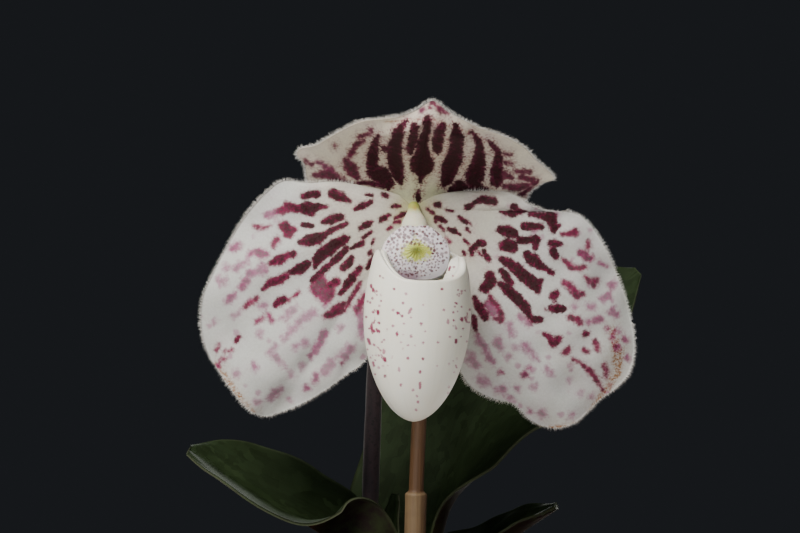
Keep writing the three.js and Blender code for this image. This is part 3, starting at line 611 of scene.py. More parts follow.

# %% [markdown]
# ## Leaves
# The strap leaves stand in a fan, folded along a keel at their foot and opening towards the tip. The upper
# face is dark green with paler tiles between the fine veins, the lower one is stained purple. A sheet is
# lofted from stations down the keel, and both faces read the same two coordinates, across and along the
# blade, so veins run true to the leaf however it bends.

# %% Leaf finish
# A thick living leaf with a thin coat of wax: dark, with a dull gloss that is soft at its edges. Its greens are set
# darker than the leaf's own dark green, as painted shade for leaves that lie low under the flower. The tiles of
# its pattern are 1.1 mm wide and its veins 0.55 mm apart.
leaf_green, tree, shader, place = new_material("mottled strap leaf", Roughness=0.7, Specular_IOR_Level=0.1)
across, along, front, edge = (add(tree, ATTRIBUTE, attribute_name=label).outputs["Fac"]
                              for label in ("across", "along", "front", "edge"))
blade_place = add(tree, "ShaderNodeCombineXYZ", {0: across, 1: along})
tile_place = add(tree, "ShaderNodeMapping", {"Vector": blade_place, "Scale": (1.0, 0.6, 1.0)})
tile_noise = add(tree, NOISE, {"Vector": tile_place, "Scale": 0.9}).outputs["Color"]
tile_place = add(tree, "ShaderNodeVectorMath", {0: tile_place, 1: tile_noise}, operation="ADD")
tiles = add(tree, CELLS, {"Vector": tile_place, "Scale": 1 / 1.1}).outputs["Color"]
tile_tone = add(tree, RANGE, {"Value": tiles, "From Min": 0.3, "From Max": 0.9, "To Min": 0.2})
large = add(tree, NOISE, {"Vector": blade_place, "Scale": 1 / 9, "Detail": 3.0})
mottle = add(tree, MATH, {0: tile_tone, 1: large}, operation="MULTIPLY")
# Painted shade: these greens are darker than the leaf's own, for the shade under the flower.
upper = add(tree, MIX, {0: mottle, 6: colour("#151f0d"), 7: colour("#303f26")}, data_type="RGBA")
vein_place = add(tree, "ShaderNodeMapping", {"Vector": blade_place, "Scale": (1.0, 0.03, 1.0)})
veins = add(tree, NOISE, {"Vector": vein_place, "Scale": 1 / 0.55})
vein_tone = add(tree, RANGE, {"Value": veins, "From Min": 0.4, "From Max": 0.7, "To Max": 0.35})
upper = add(tree, MIX, {0: vein_tone, 6: upper, 7: colour("#24321e")}, data_type="RGBA")
stain = add(tree, NOISE, {"Vector": blade_place, "Scale": 1 / 1.1, "Detail": 3.0, "Roughness": 0.7})
stain = add(tree, RANGE, {"Value": stain, "From Min": 0.38, "From Max": 0.6})
lower = add(tree, MIX, {0: stain, 6: colour("#262c1c"), 7: colour("#1f1218")}, data_type="RGBA")
green = add(tree, MIX, {0: front, 6: lower, 7: upper}, data_type="RGBA")
pale_edge = add(tree, RANGE, {"Value": edge, "From Min": 0.95, "From Max": 0.995, "To Max": 0.18})
green = add(tree, MIX, {0: pale_edge, 6: green, 7: colour("#6f7a5c")}, data_type="RGBA")
base_glow = add(tree, RANGE, {"Value": along, "From Min": 22.0, "From Max": 6.0, "To Max": 0.65})
green = add(tree, MIX, {0: base_glow, 6: green, 7: colour("#566b35")}, data_type="RGBA")
dress(tree, shader, green, veins, 0.35, 0.15)
print("leaf nodes:", len(tree.nodes))

# %% Five leaf blades from their keels
LEAVES = {
    "leaf_left": (-1, "inner", [
        [-9.6, -1.6, 81.5, 5.4, 8.6, 0.75, 0.35, 0.5], [-12.6, -1.4, 84.2, 6.2, 6.6, 0.55, -0.2, 0.8],
        [-17.6, -2.8, 87.4, 7.6, 4.6, 0.35, -0.57, 0.74], [-25.4, -4.4, 91.9, 7.4, 3.5, 0.38, -0.52, 0.76],
        [-30.8, -5.6, 95.4, 4.9, 2, 0.4, -0.5, 0.76], [-34.2, -6.3, 97.6, 1.3, 0.3, 0.4, -0.5, 0.76]]),
    "leaf_right": (1, "inner", [
        [6.5, 13.8, 83.6, 12.1, 10, -0.75, -0.63, 0.16], [10, 16.6, 93, 14.8, 7.5, -0.62, -0.73, 0.26],
        [14.6, 19.5, 103.7, 16.3, 5.5, -0.48, -0.8, 0.35], [24, 22.3, 114, 14.6, 4, -0.34, -0.83, 0.45],
        [35, 24.4, 121.5, 9, 2.2, -0.21, -0.83, 0.51], [42.6, 25.8, 127, 1, 0.2, -0.2, -0.8, 0.5]]),
    "leaf_low_left": (-1, "outer", [
        [-12.5, -9, 73.5, 9, 4.6, 0.45, 0.4, 0.78], [-24, -16, 78.3, 11, 3.6, 0.1, 0, 1],
        [-38, -23, 79, 11, 3, -0.1, -0.1, 1], [-50, -28, 76.5, 8, 2, -0.3, -0.2, 0.93],
        [-58, -31, 73, 1, 0.2, -0.4, -0.25, 0.88]]),
    "leaf_low_right": (1, "outer", [
        [7.5, 15, 72.5, 8.5, 4.6, -0.45, -0.5, 0.75], [14.5, 13, 78, 7.6, 3.6, -0.25, -0.2, 0.94],
        [21.6, 9.6, 83.4, 5, 2.4, -0.15, -0.25, 0.95], [27.2, 6.6, 87.4, 0.9, 0.2, -0.1, -0.3, 0.95]]),
    "leaf_young": (1, "young", [
        [-0.6, 6.2, 79, 2.3, 2.6, -0.57, -0.82, 0], [-0.35, 6, 84.5, 1.8, 1.6, -0.5, -0.86, 0],
        [0, 5.4, 89.6, 0.7, 0.3, -0.5, -0.86, 0.1]])}
RINGS = {"outer": {"keel": 9.5, "half": 7.4, "leg": 6.4, "clasp": 5},
         "inner": {"keel": 8.0, "half": 6.1, "leg": 7.3, "clasp": 9.5},
         "young": {"keel": 3.6, "half": 2.0, "leg": 2.4, "clasp": 12}}
GROOVE = 0.22               # roundness of the groove along the keel


def leaf_stations(side, ring, rows):
    """The keel's stations: three upright ones where the foot clasps the fan, then the blade's own rows, each
    with its place, half width, depth of fold and the way that its upper face looks."""
    outward = np.array([math.cos(FAN["azimuth"]), math.sin(FAN["azimuth"])]) * side
    feet = [[FAN["x"] + ring["keel"] * outward[0], FAN["y"] + ring["keel"] * outward[1],
             FAN["foot"] + share * ring["clasp"], ring["half"], ring["leg"], -outward[0], -outward[1], 0]
            for share in (0, 0.5, 1)]
    return feet + rows


def leaf_sheet(stations, length_steps=150, width_steps=44):
    knots = chord_knots(stations)
    t = np.linspace(0, 1, length_steps + 1)
    here = through(stations, t, knots)
    keel = here[:, :3]
    ahead = through(stations, np.minimum(t + 0.01, 1), knots)[:, :3]
    along = unit(ahead - through(stations, np.maximum(t - 0.01, 0), knots)[:, :3])
    across = unit(np.cross(along, here[:, 5:8]))
    upper = np.cross(across, along)
    folded = (1 - smooth(knots[2], knots[3] + 0.5 * (knots[3] - knots[2]), t))[:, None]
    v = np.linspace(-1, 1, width_steps + 1)[None]
    groove = (np.hypot(v, GROOVE) - GROOVE) / (math.hypot(1, GROOVE) - GROOVE)
    sideways = here[:, 3:4] * mix(v, np.sin(v * np.pi / 2), folded)
    lift = here[:, 4:5] * mix(groove, 1 - np.cos(v * np.pi / 2), folded)
    waves = 0.16 * smooth(0.75, 1, abs(v)) * np.sin(t * 31)[:, None] * (1 - folded)
    sheet = keel[:, None] + across[:, None] * sideways[..., None] + upper[:, None] * (lift + waves)[..., None]
    distance = np.concatenate([[0], np.cumsum(np.linalg.norm(np.diff(keel, axis=0), axis=1))])
    return sheet, v + 0 * t[:, None], sideways, distance[:, None] + 0 * v


print("stations of the left leaf:", len(leaf_stations(-1, RINGS["inner"], LEAVES["leaf_left"][2])))

# %% The blades
for name, (side, ring, rows) in LEAVES.items():
    sheet, v, sideways, distance = leaf_sheet(leaf_stations(side, RINGS[ring], rows))
    tip = distance / distance.max()
    edge = np.maximum(abs(v), smooth(0.97, 1, tip))
    thickness = 0.9 - 0.45 * smooth(0.6, 1, abs(v)) + 0.25 * np.exp(-((v / 0.1) ** 2))
    points, faces, numbers = blade_mesh(sheet, thickness, {"across": sideways, "along": distance, "edge": edge})
    piece(name + "_blade", points, faces, leaf_green, [name], numbers)

# %% [markdown]
# ## Downy stem, seed vessel and bract
# The flower stem is dark purple and covered in short grey hairs, so it looks dusty. It carries a ribbed
# seed vessel that bends forward into the flower, and one papery bract that hugs its foot. Tubes of rings
# make all of it, and the hair tree grows the down on a copy of each tube.

# %% Stem finishes
def downy_finish(name, dark, light, spots, spot_size):
    """Green or purple skin under a felt of hairs: matt, with a pale sheen at its outline, streaked along its
    length and dotted with spots spot_size mm apart."""
    material, tree, shader, place = new_material(name, Roughness=0.75, Sheen_Weight=0.35, Sheen_Roughness=0.45)
    stretched = add(tree, "ShaderNodeMapping", {"Vector": place, "Scale": (1.0, 1.0, 0.25)})
    streaks = add(tree, NOISE, {"Vector": stretched, "Scale": per_metre(0.9), "Detail": 3.0})
    tone = add(tree, RANGE, {"Value": streaks, "From Min": 0.3, "From Max": 0.7})
    shade = add(tree, MIX, {0: tone, 6: colour(dark), 7: colour(light)}, data_type="RGBA")
    dots = add(tree, CELLS, {"Vector": place, "Scale": per_metre(spot_size)}).outputs["Distance"]
    dots = add(tree, RANGE, {"Value": dots, "From Min": 0.42, "From Max": 0.2})
    shade = add(tree, MIX, {0: dots, 6: shade, 7: colour(spots)}, data_type="RGBA")
    dress(tree, shader, shade, streaks, 0.4, 0.15)
    return material


stem_skin = downy_finish("purple downy stem", "#1b1015", "#322126", "#140a0d", 0.8)
ovary_skin = downy_finish("ribbed downy ovary", "#4b452c", "#6b673f", "#3c1c26", 0.9)
bract_skin = downy_finish("papery bract", "#4d5430", "#6c7147", "#46262c", 1.1)
stem_hair = hair_finish("grey stem hair", "#4c4145", "#756a6a", 0.6)
print("downy finishes:", [skin.name for skin in (stem_skin, ovary_skin, bract_skin)])

# %% Routes and radii
SCAPE_ROUTE = [[-4.6, 3, 61.5], [-4.4, 3, 76], [-4.2, 3.2, 92], [-3.5, 3.6, 110], [-2.7, 4, 123.4]]
OVARY_ROUTE = [[-2.5, 4, 123.9], [-1.7, 2.6, 129.5], [0.1, -2.6, 135], [1.9, -10, 137.4], [2.9, -17.6, 137.4]]
BRACT_ROWS = [[-2.9, 6.9, 119.5, 2.6, 2.2], [-2.7, 7.3, 124, 3.8, 3.4], [-1.6, 6.3, 130, 3.8, 3.2],
              [0.2, 3.2, 136.4, 2.2, 1.5], [1, 1.4, 139.2, 0.6, 0.2]]


def scape_radius(t):
    return 1.4 + 0.04 * math.sin(t * 40) * math.sin(t * 17)


def ovary_radius(t):
    return mix(1.6, 2.3, math.sin(math.pi * min(t * 1.1, 1))) + 0.7 * float(smooth(0.9, 1, t))


print("stem radius", round(scape_radius(0.5), 2), "ovary radius", round(ovary_radius(0.5), 2))

# %% Stem, ovary and bract
TUBES = {"scape": (tube_rings(SCAPE_ROUTE, scape_radius, np.linspace(0, 1, 161), 32), stem_skin, "flower_stem"),
         "ovary": (tube_rings(OVARY_ROUTE, ovary_radius, np.linspace(0, 1, 121), 72, ribs=6, rib_depth=0.18),
                   ovary_skin, "ovary")}
for seed, (name, (rings, skin, slot)) in enumerate(TUBES.items()):
    points, faces = capped(rings)
    piece(name + "_skin", points, faces, skin, [name])
    scattered(name + "_down", rings.reshape(-1, 3), grid_faces(*rings.shape[:2], wrap=True), HAIRS, HAIR_SOCKETS,
              stem_hair, count=14, length=0.5, thickness=0.05, lean=0.5, seed=21 + seed)

place_on = through(BRACT_ROWS, np.linspace(0, 1, 71))
turn = (np.linspace(-4, 4, 49) * np.pi / 8)[None]
bract = np.stack([place_on[:, 0:1] + place_on[:, 3:4] * np.sin(turn),
                  place_on[:, 1:2] - place_on[:, 4:5] * (1 - np.cos(turn)),
                  place_on[:, 2:3] + 0 * turn], -1)
points, faces, numbers = blade_mesh(bract, np.full(bract.shape[:2], 0.55), {})
piece("bract_blade", points, faces, bract_skin, ["bract"], numbers)

# %% [markdown]
# ## Spots drawn as strokes
# The flower's spots are what a grower knows it by. Each is written as a stroke: a few places on the flower's
# front, each with a width, as a botanical painter would lay it down. A place is a step right and a step down
# on a square grid, where one step is 0.16 mm at the flower. For every point of a petal the script measures
# how deep it lies inside the nearest stroke, and keeps that depth and the stroke's strength as attributes.
# The finish then breaks the edge into the small cells that hold the pigment.

# %% Stroke measuring
def front_grid(points):
    """Steps right and down on the front view's grid for points in millimetres."""
    step = GRID_STEP * (points[..., 1] - CAMERA[1]) / VIEW_DISTANCE
    right = GRID_MIDDLE[0] + (points[..., 0] - CAMERA[0]) / step
    down = GRID_MIDDLE[1] - (points[..., 2] - CAMERA[2]) / step
    return np.stack([right, down], -1)


def stroke_depth(grid, strokes, blur=1.6):
    """Depth inside the nearest stroke in mm, negative outside, and the strength of what is near."""
    flat = grid.reshape(-1, 2)
    best = np.full(len(flat), -30.0)
    weight = np.full(len(flat), 1e-9)
    strength = np.zeros(len(flat))
    for tone, *places in strokes:
        places = np.array(places, float)
        reach = places[:, 2].max() / 2 + 7
        low, high = places[:, :2].min(0) - reach, places[:, :2].max(0) + reach
        near = np.flatnonzero(np.all((flat > low) & (flat < high), 1))
        if not len(near):
            continue
        here = flat[near]
        depth = np.full(len(near), -30.0)
        if len(places) == 1:
            places = places[[0, 0]]
        for (ax, ay, aw), (bx, by, bw) in zip(places[:-1], places[1:]):
            line = np.array([bx - ax, by - ay])
            share = np.clip(((here - [ax, ay]) @ line) / max(line @ line, 1e-6), 0, 1)
            gap = np.linalg.norm(here - [ax, ay] - share[:, None] * line, axis=1)
            depth = np.maximum(depth, mix(aw, bw, share) / 2 - gap)
        pull = np.exp(np.clip(depth, -8, 6) / blur)
        weight[near] += pull
        strength[near] += pull * tone
        best[near] = np.maximum(best[near], depth)
    shape = grid.shape[:2]
    return (best * GRID_STEP).reshape(shape), (strength / weight).reshape(shape)


print("flower middle on the grid:", front_grid(np.array([[2.9, -20.0, 137.4]]))[0].round())

# %% Strokes of the left petal
LEFT_SPOTS = [
    (1, (304, 196, 7), (317, 194, 8)), (1, (328, 207, 3), (316, 207, 9), (308, 208, 14), (302, 208, 10)),
    (0.8, (302, 208, 9), (296, 208, 9), (288, 206, 9)), (0.7, (288, 208, 9), (279, 211, 7)),
    (0.4, (279, 211, 6), (268, 215, 6)), (1, (307, 210, 9), (312, 214, 7)),
    (1, (333, 194, 10), (340, 197, 10), (350, 201, 4)), (1, (366, 195, 3), (372, 196, 3)),
    (1, (355, 209, 5), (363, 206, 7), (371, 202, 5)), (1, (323, 222, 5), (331, 220, 10), (341, 217, 8)),
    (1, (303, 225, 5), (311, 226, 6)), (1, (346, 224, 5), (336, 229, 6), (325, 234, 6)),
    (1, (301, 243, 6), (309, 241, 12), (317, 239, 12), (323, 236, 8)),
    (1, (345, 239, 9), (336, 244, 12), (326, 251, 13), (317, 259, 11), (315, 267, 5)),
    (1, (346, 249, 7), (338, 258, 8), (328, 266, 7), (320, 273, 7), (314, 280, 7)),
    (1, (343, 268, 8), (349, 262, 9), (352, 258, 6)), (1, (361, 228, 5), (367, 224, 7), (372, 222, 4)),
    (1, (363, 238, 4), (371, 232, 4)), (1, (350, 249, 2), (356, 246, 4), (361, 244, 8), (363, 241, 4)),
    (1, (372, 244, 3), (374, 239, 3)), (1, (369, 254, 4), (371, 250, 3)),
    (1, (367, 268, 4), (371, 262, 6), (374, 256, 4)),
    (0.95, (340, 294, 5), (346, 286, 8), (353, 277, 9), (360, 268, 6)), (0.85, (330, 286, 9), (337, 282, 9)),
    (0.55, (322, 280, 12), (318, 288, 15), (325, 297, 14), (330, 290, 12)),
    (0.72, (325, 316, 5), (332, 313, 9), (339, 308, 12), (343, 304, 6)),
    (0.72, (345, 310, 4), (350, 300, 5), (355, 292, 5), (359, 283, 5)),
    (0.72, (365, 294, 4), (361, 302, 7), (358, 310, 9)), (0.35, (358, 308, 9), (361, 320, 7), (361, 335, 6)),
    (0.95, (291, 272, 7), (299, 269, 12), (307, 264, 9)),
    (0.85, (264, 288, 5), (271, 282, 9), (279, 280, 10), (286, 276, 8)),
    (0.8, (272, 263, 6), (280, 260, 10), (287, 256, 8), (294, 254, 7)),
    (0.7, (284, 226, 11), (289, 233, 12), (295, 229, 6)), (0.6, (278, 240, 6), (274, 246, 5)),
    (0.6, (255, 226, 4), (262, 228, 5), (271, 226, 2)), (0.42, (232, 249, 6), (237, 246, 8)),
    (0.45, (253, 254, 6), (260, 254, 9), (266, 255, 7)), (0.3, (226, 268, 6)),
    (0.32, (237, 269, 5), (243, 264, 4), (248, 263, 4)), (0.35, (251, 273, 6), (257, 272, 7), (264, 269, 8)),
    (0.42, (242, 287, 6), (247, 280, 7)), (0.28, (218, 278, 4), (225, 282, 4)), (0.4, (228, 299, 6), (234, 295, 6)),
    (0.65, (245, 307, 4), (252, 302, 6), (258, 297, 4)), (0.85, (277, 304, 7), (281, 301, 9), (285, 299, 7)),
    (0.6, (289, 300, 4), (299, 292, 3)), (0.35, (260, 306, 3), (266, 305, 3)),
    (0.55, (258, 321, 5), (263, 318, 4)), (0.5, (269, 315, 4), (273, 321, 4)), (0.85, (236, 342, 4), (240, 337, 5)),
    (0.6, (226, 351, 3), (232, 350, 4)), (0.6, (217, 350, 3), (219, 345, 3)), (0.6, (224, 359, 5)),
    (0.5, (218, 366, 4), (220, 361, 3)), (0.35, (255, 366, 6)), (0.25, (261, 333, 6)),
    (0.28, (314, 312, 7), (304, 318, 6), (295, 327, 6), (284, 338, 4)), (0.3, (296, 346, 4), (304, 342, 6)),
    (0.4, (311, 355, 5), (318, 345, 8), (324, 334, 8)), (0.25, (340, 328, 5)),
    (0.32, (345, 355, 8), (350, 347, 7)), (0.5, (341, 362, 4)), (0.25, (325, 371, 8), (331, 362, 8)),
    (0.42, (314, 381, 4), (318, 374, 5)), (0.42, (307, 387, 5)),
    (0.3, (270, 397, 5), (275, 392, 6), (280, 388, 4)), (0.35, (289, 399, 3)), (0.25, (257, 402, 5)),
    (0.28, (276, 356, 5), (284, 364, 4)), (0.25, (303, 366, 6)), (0.25, (291, 374, 5)),
    (0.25, (270, 352, 4), (276, 346, 3)), (0.25, (237, 373, 6)), (0.25, (234, 316, 4), (241, 312, 3)),
    (0.25, (214, 322, 5)), (0.25, (284, 318, 5), (296, 309, 5)), (1, (383, 196, 4), (387, 196, 4)),
    (1, (392, 206.6, 3.5), (396, 206.4, 5), (399.5, 206.2, 3)),
    (1, (381, 220, 5), (385, 217.7, 7), (388.5, 215.3, 4)),
    (0.95, (395.5, 218.3, 4), (401, 215.5, 5), (406.5, 213.6, 3)), (0.85, (394.5, 222.5, 4), (399, 221.8, 4)),
    (0.85, (387, 229.7, 3.5), (391, 227.2, 4)), (0.7, (412.4, 200.5, 2), (412.6, 202, 2))]
LEFT_AGED = [(1, (216, 364, 5), (222, 373, 7), (229, 384, 8), (236, 394, 8), (243, 403, 7), (252, 411, 5))]
print("strokes on the left petal:", len(LEFT_SPOTS))

# %% Strokes of the right petal
RIGHT_SPOTS = [
    (1, (467, 208, 6), (474, 204, 4), (483, 200, 8), (494, 202, 8)),
    (1, (501, 212, 4), (512, 213, 10), (519, 211, 9), (526, 211, 3)), (1, (513, 206, 6), (518, 209, 6)),
    (1, (530, 215, 5), (541, 217, 7), (552, 218, 10)), (1, (551, 221, 11), (553, 229, 9), (559, 226, 4)),
    (0.75, (561, 234, 4), (568, 234, 5), (574, 233, 9)), (1, (524, 226, 8), (532, 227, 8), (540, 227, 7)),
    (1, (501, 230, 9), (508, 231, 13), (514, 234, 9)), (1, (504, 246, 12), (510, 246, 14), (513, 248, 10)),
    (1, (508, 239, 3)), (1, (520, 240, 8), (528, 240, 7), (536, 239, 9)), (0.9, (536, 240, 8), (535, 247, 6)),
    (1, (527, 255, 9), (533, 260, 14), (540, 266, 9), (546, 270, 5), (551, 273, 7)),
    (1, (502, 259, 7), (510, 264, 11), (518, 271, 12), (527, 279, 13), (535, 285, 13), (537, 291, 7)),
    (1, (540, 281, 6)), (1, (501, 270, 5), (506, 277, 8), (511, 283, 7)),
    (1, (501, 284, 7), (508, 290, 11), (516, 297, 11), (524, 305, 11), (528, 312, 7), (533, 319, 6), (539, 319, 8)),
    (0.35, (520, 316, 6), (529, 323, 5)), (1, (490, 275, 10), (491, 282, 12), (484, 288, 10), (487, 291, 6)),
    (0.8, (490, 296, 4), (493, 303, 4)), (0.92, (475, 298, 5), (478, 304, 8), (483, 312, 9), (486, 317, 7)),
    (0.65, (491, 299, 5), (496, 306, 6), (500, 313, 6), (500, 319, 7), (494, 318, 4)),
    (0.4, (489, 305, 9), (494, 312, 9)), (0.85, (474, 317, 6), (475, 324, 6), (476, 329, 4)),
    (0.95, (550, 243, 6), (554, 243, 8), (561, 244, 4)), (0.95, (552, 250, 8), (555, 256, 7)),
    (1, (480, 243, 8), (483, 243, 8)), (1, (475, 247, 8), (472, 249, 7)), (1, (464, 240, 4), (469, 244, 4)),
    (1, (472, 255, 5), (473, 252, 4)), (1, (465, 255, 4), (464, 252, 4)), (1, (478, 252, 4), (482, 256, 3)),
    (1, (484, 252, 5), (489, 260, 5), (486, 256, 6)), (1, (436, 205, 5), (440, 205, 5)),
    (1, (447, 210, 3), (453, 211, 3)), (1, (459, 217, 4), (464, 220, 5), (471, 224, 3)),
    (1, (467, 229, 4), (470, 232, 3)), (1, (436, 218, 5), (441, 219, 6), (446, 222, 4)),
    (1, (449, 229, 4), (454, 231, 6), (460, 235, 3)), (1, (440, 226, 4), (444, 230, 4)), (1, (436, 222, 4)),
    (0.6, (446, 238, 3), (450, 242, 3)), (1, (428, 209, 4), (433, 213, 4)),
    (0.62, (562, 259, 4), (567, 263, 6), (573, 268, 6), (580, 268, 5), (586, 267, 3)),
    (0.62, (588, 242, 4), (587, 246, 6)), (0.5, (579, 252, 5), (584, 255, 7), (590, 258, 7)),
    (0.45, (601, 263, 4), (606, 266, 4)), (0.6, (584, 277, 4), (590, 281, 6), (596, 280, 6)), (0.6, (593, 285, 5)),
    (0.38, (612, 285, 8)), (0.6, (564, 283, 7), (570, 286, 7), (573, 291, 8), (577, 295, 8), (582, 294, 5)),
    (0.85, (552, 296, 8), (556, 294, 7)), (0.8, (554, 302, 4)), (0.95, (551, 308, 7), (557, 308, 9), (563, 309, 6)),
    (0.8, (545, 309, 2)), (0.38, (601, 299, 5), (608, 296, 7)), (0.38, (612, 311, 8), (616, 315, 5)),
    (0.35, (588, 307, 5), (594, 307, 6)), (0.3, (574, 306, 4)), (0.62, (570, 317, 6), (575, 319, 7), (580, 323, 5)),
    (0.42, (587, 322, 5), (594, 320, 5), (600, 318, 6)), (0.8, (584, 333, 6), (587, 333, 5)),
    (0.5, (607, 329, 4)), (0.35, (617, 331, 5)), (0.45, (612, 338, 6)), (0.45, (625, 339, 6)),
    (0.45, (617, 347, 7)), (0.42, (627, 358, 5)), (0.65, (594, 341, 4), (597, 346, 5), (598, 350, 4)),
    (0.65, (583, 349, 4), (587, 351, 4)), (0.8, (544, 333, 4), (549, 336, 7), (553, 342, 9), (560, 337, 6)),
    (0.65, (564, 352, 5), (568, 349, 7)),
    (0.7, (572, 358, 3), (580, 362, 4), (587, 367, 5), (592, 373, 6), (597, 380, 5), (602, 389, 3)),
    (0.65, (603, 364, 4), (606, 370, 5), (605, 377, 3)),
    (0.35, (478, 337, 5), (484, 347, 5), (489, 356, 5), (493, 362, 4)), (0.28, (498, 340, 7), (501, 347, 6)),
    (0.28, (508, 326, 7), (512, 334, 5)), (0.32, (524, 345, 6), (528, 350, 5), (535, 359, 4)),
    (0.28, (471, 357, 9), (476, 364, 7)), (0.5, (501, 371, 5)), (0.5, (525, 374, 6)), (0.4, (529, 367, 4)),
    (0.28, (480, 379, 8), (486, 382, 8)), (0.35, (498, 391, 4), (505, 388, 4)), (0.3, (518, 388, 5)),
    (0.32, (508, 397, 5), (513, 400, 4)), (0.32, (546, 369, 4), (551, 374, 4)), (0.4, (570, 366, 4)),
    (0.25, (569, 380, 5)), (0.25, (581, 393, 5)), (0.25, (591, 395, 5)), (0.4, (529, 411, 4)),
    (0.28, (542, 413, 7)), (0.35, (571, 414, 5)), (0.25, (534, 386, 5)), (0.25, (509, 356, 6)),
    (0.25, (514, 348, 4))]
RIGHT_AGED = [(1, (622, 350, 4), (617, 372, 8), (606, 390, 6), (597, 403, 7), (585, 420, 3), (560, 431, 3),
               (545, 430, 2)),
              (0.7, (612, 330, 6), (615, 345, 9), (616, 362, 8)), (0.6, (578, 423, 3), (565, 427, 5), (550, 428, 4))]
print("strokes on the right petal:", len(RIGHT_SPOTS))

# %% Strokes of the upper sepal
SEPAL_SPOTS = [
    (1, (428, 121, 9), (426, 131, 10), (422, 142, 13), (423, 153, 17), (422, 162, 24), (421, 169, 14), (421, 179, 5)),
    (1, (415, 126, 6), (413, 135, 8), (411, 145, 8), (410, 149, 6)), (1, (411, 146, 5), (406, 146, 3)),
    (1, (406, 122, 4), (399, 132, 10), (396, 144, 13), (395, 154, 14), (397, 165, 15), (399, 174, 12), (401, 181, 4)),
    (0.9, (384, 146, 4), (391, 148, 8)),
    (0.95, (379, 134, 3), (375, 144, 8), (373, 154, 10), (372, 163, 12), (373, 168, 6)),
    (1, (371, 172, 9), (381, 174, 18), (387, 181, 14), (388, 187, 4)),
    (0.8, (358, 182, 3), (368, 182, 4), (381, 184, 5)),
    (0.7, (356, 144, 4), (350, 154, 6)), (0.65, (347, 161, 9), (352, 169, 12), (357, 176, 6)),
    (0.6, (315, 174, 4), (328, 172, 12), (339, 178, 7), (346, 181, 3)), (0.5, (318, 161, 3), (331, 169, 6)),
    (0.6, (306, 161, 3), (312, 164, 3)), (0.6, (335, 144, 3)), (0.55, (371, 129, 4)),
    (0.65, (359, 136, 3), (372, 131, 3)), (0.65, (357, 143, 4), (364, 139, 3)),
    (1, (441, 126, 7), (439, 138, 10), (438, 148, 7)),
    (1, (454, 126, 5), (456, 137, 12), (456, 147, 13), (454, 156, 16), (449, 167, 16), (447, 178, 12), (444, 184, 6)),
    (0.95, (472, 132, 3), (479, 142, 7), (479, 153, 11), (478, 163, 15), (475, 174, 19), (474, 180, 15)),
    (1, (453, 189, 8), (460, 186, 13), (465, 187, 9)), (0.95, (467, 189, 5), (478, 188, 7), (485, 188, 5)),
    (0.9, (489, 141, 3), (497, 149, 5), (499, 158, 8), (497, 169, 12), (497, 179, 13), (497, 184, 5)),
    (0.7, (505, 153, 3), (511, 154, 2)), (0.7, (506, 161, 4), (512, 162, 3)), (0.6, (505, 174, 9), (512, 176, 4)),
    (0.65, (517, 170, 4), (530, 171, 3)), (0.65, (522, 176, 7), (534, 179, 4)),
    (0.65, (506, 185, 5), (522, 186, 7), (535, 181, 3)), (0.85, (521, 194, 4), (530, 187, 4), (538, 180, 2)),
    (1, (419, 189, 3), (418, 195, 5), (419, 200, 3)), (0.6, (432, 103, 4), (439, 109, 5), (447, 114, 3)),
    (0.5, (422, 111, 3), (425, 110, 3)), (0.6, (430, 108, 3))]
# Painted shadow: RIDGE_LINE is a thin brown line along the crease where the hood turns up to its rim, laid in the
# same channel as the petals' brown margins.
RIDGE_LINE = [(1, (385, 121, 1.2), (402, 121, 1.8), (424, 120, 1.6), (433, 119.5, 2), (446, 126, 2), (462, 130, 1.6),
               (476, 134, 2), (484, 142, 1.2))]
print("strokes on the upper sepal:", len(SEPAL_SPOTS))

# %% [markdown]
# ## Petal tissue
# A living petal is velvety and matt, because every cell of its surface is a tiny cone. Its ground runs from
# greenish cream in the throat to a cool white at the edge. Dye is laid over it: solid maroon where a stroke
# is strong, thinner purple where it is weak, always broken at the edge cell by cell. A painted picture would
# blur when seen close; here the strokes' numbers travel with the points, and noise and cells break them up,
# so the spots stay crisp. The finish is built in steps, each a short function.

# %% Cells, blotches and veins
TISSUE = {"cell": 0.24, "blotch": 1.0, "vein": 1.1, "cloud": 4.5, "down": 0.3, "pebble": 0.22, "far_dot": 2.6}


def tissue(tree, place):
    """Sources by name: the numbers that travel with the points, and the patterns of the tissue."""
    found = {label: add(tree, ATTRIBUTE, attribute_name=label).outputs["Fac"]
             for label in ("spot_depth", "spot_strength", "reach", "ray", "aged_and_crease_shade", "front")}
    blotch = add(tree, NOISE, {"Vector": place, "Scale": per_metre(TISSUE["blotch"]), "Detail": 4.0,
                               "Roughness": 0.6})
    found["blotch"], found["bend"] = blotch, blotch.outputs["Color"]
    cells = add(tree, CELLS, {"Vector": place, "Scale": per_metre(TISSUE["cell"])})
    found["cell"] = add(tree, "ShaderNodeSeparateColor", {0: cells.outputs["Color"]})
    slow_reach = add(tree, MATH, {0: found["reach"], 1: 0.05}, operation="MULTIPLY")
    vein_place = add(tree, "ShaderNodeCombineXYZ", {0: found["ray"], 1: slow_reach})
    found["veins"] = add(tree, NOISE, {"Vector": vein_place, "Scale": 1 / TISSUE["vein"]})
    return found


print("widths of the tissue's patterns in mm:", TISSUE)

# %% Ragged spots
BACK_SHOWS = 0.35           # how much of a spot shines through on the petal's back


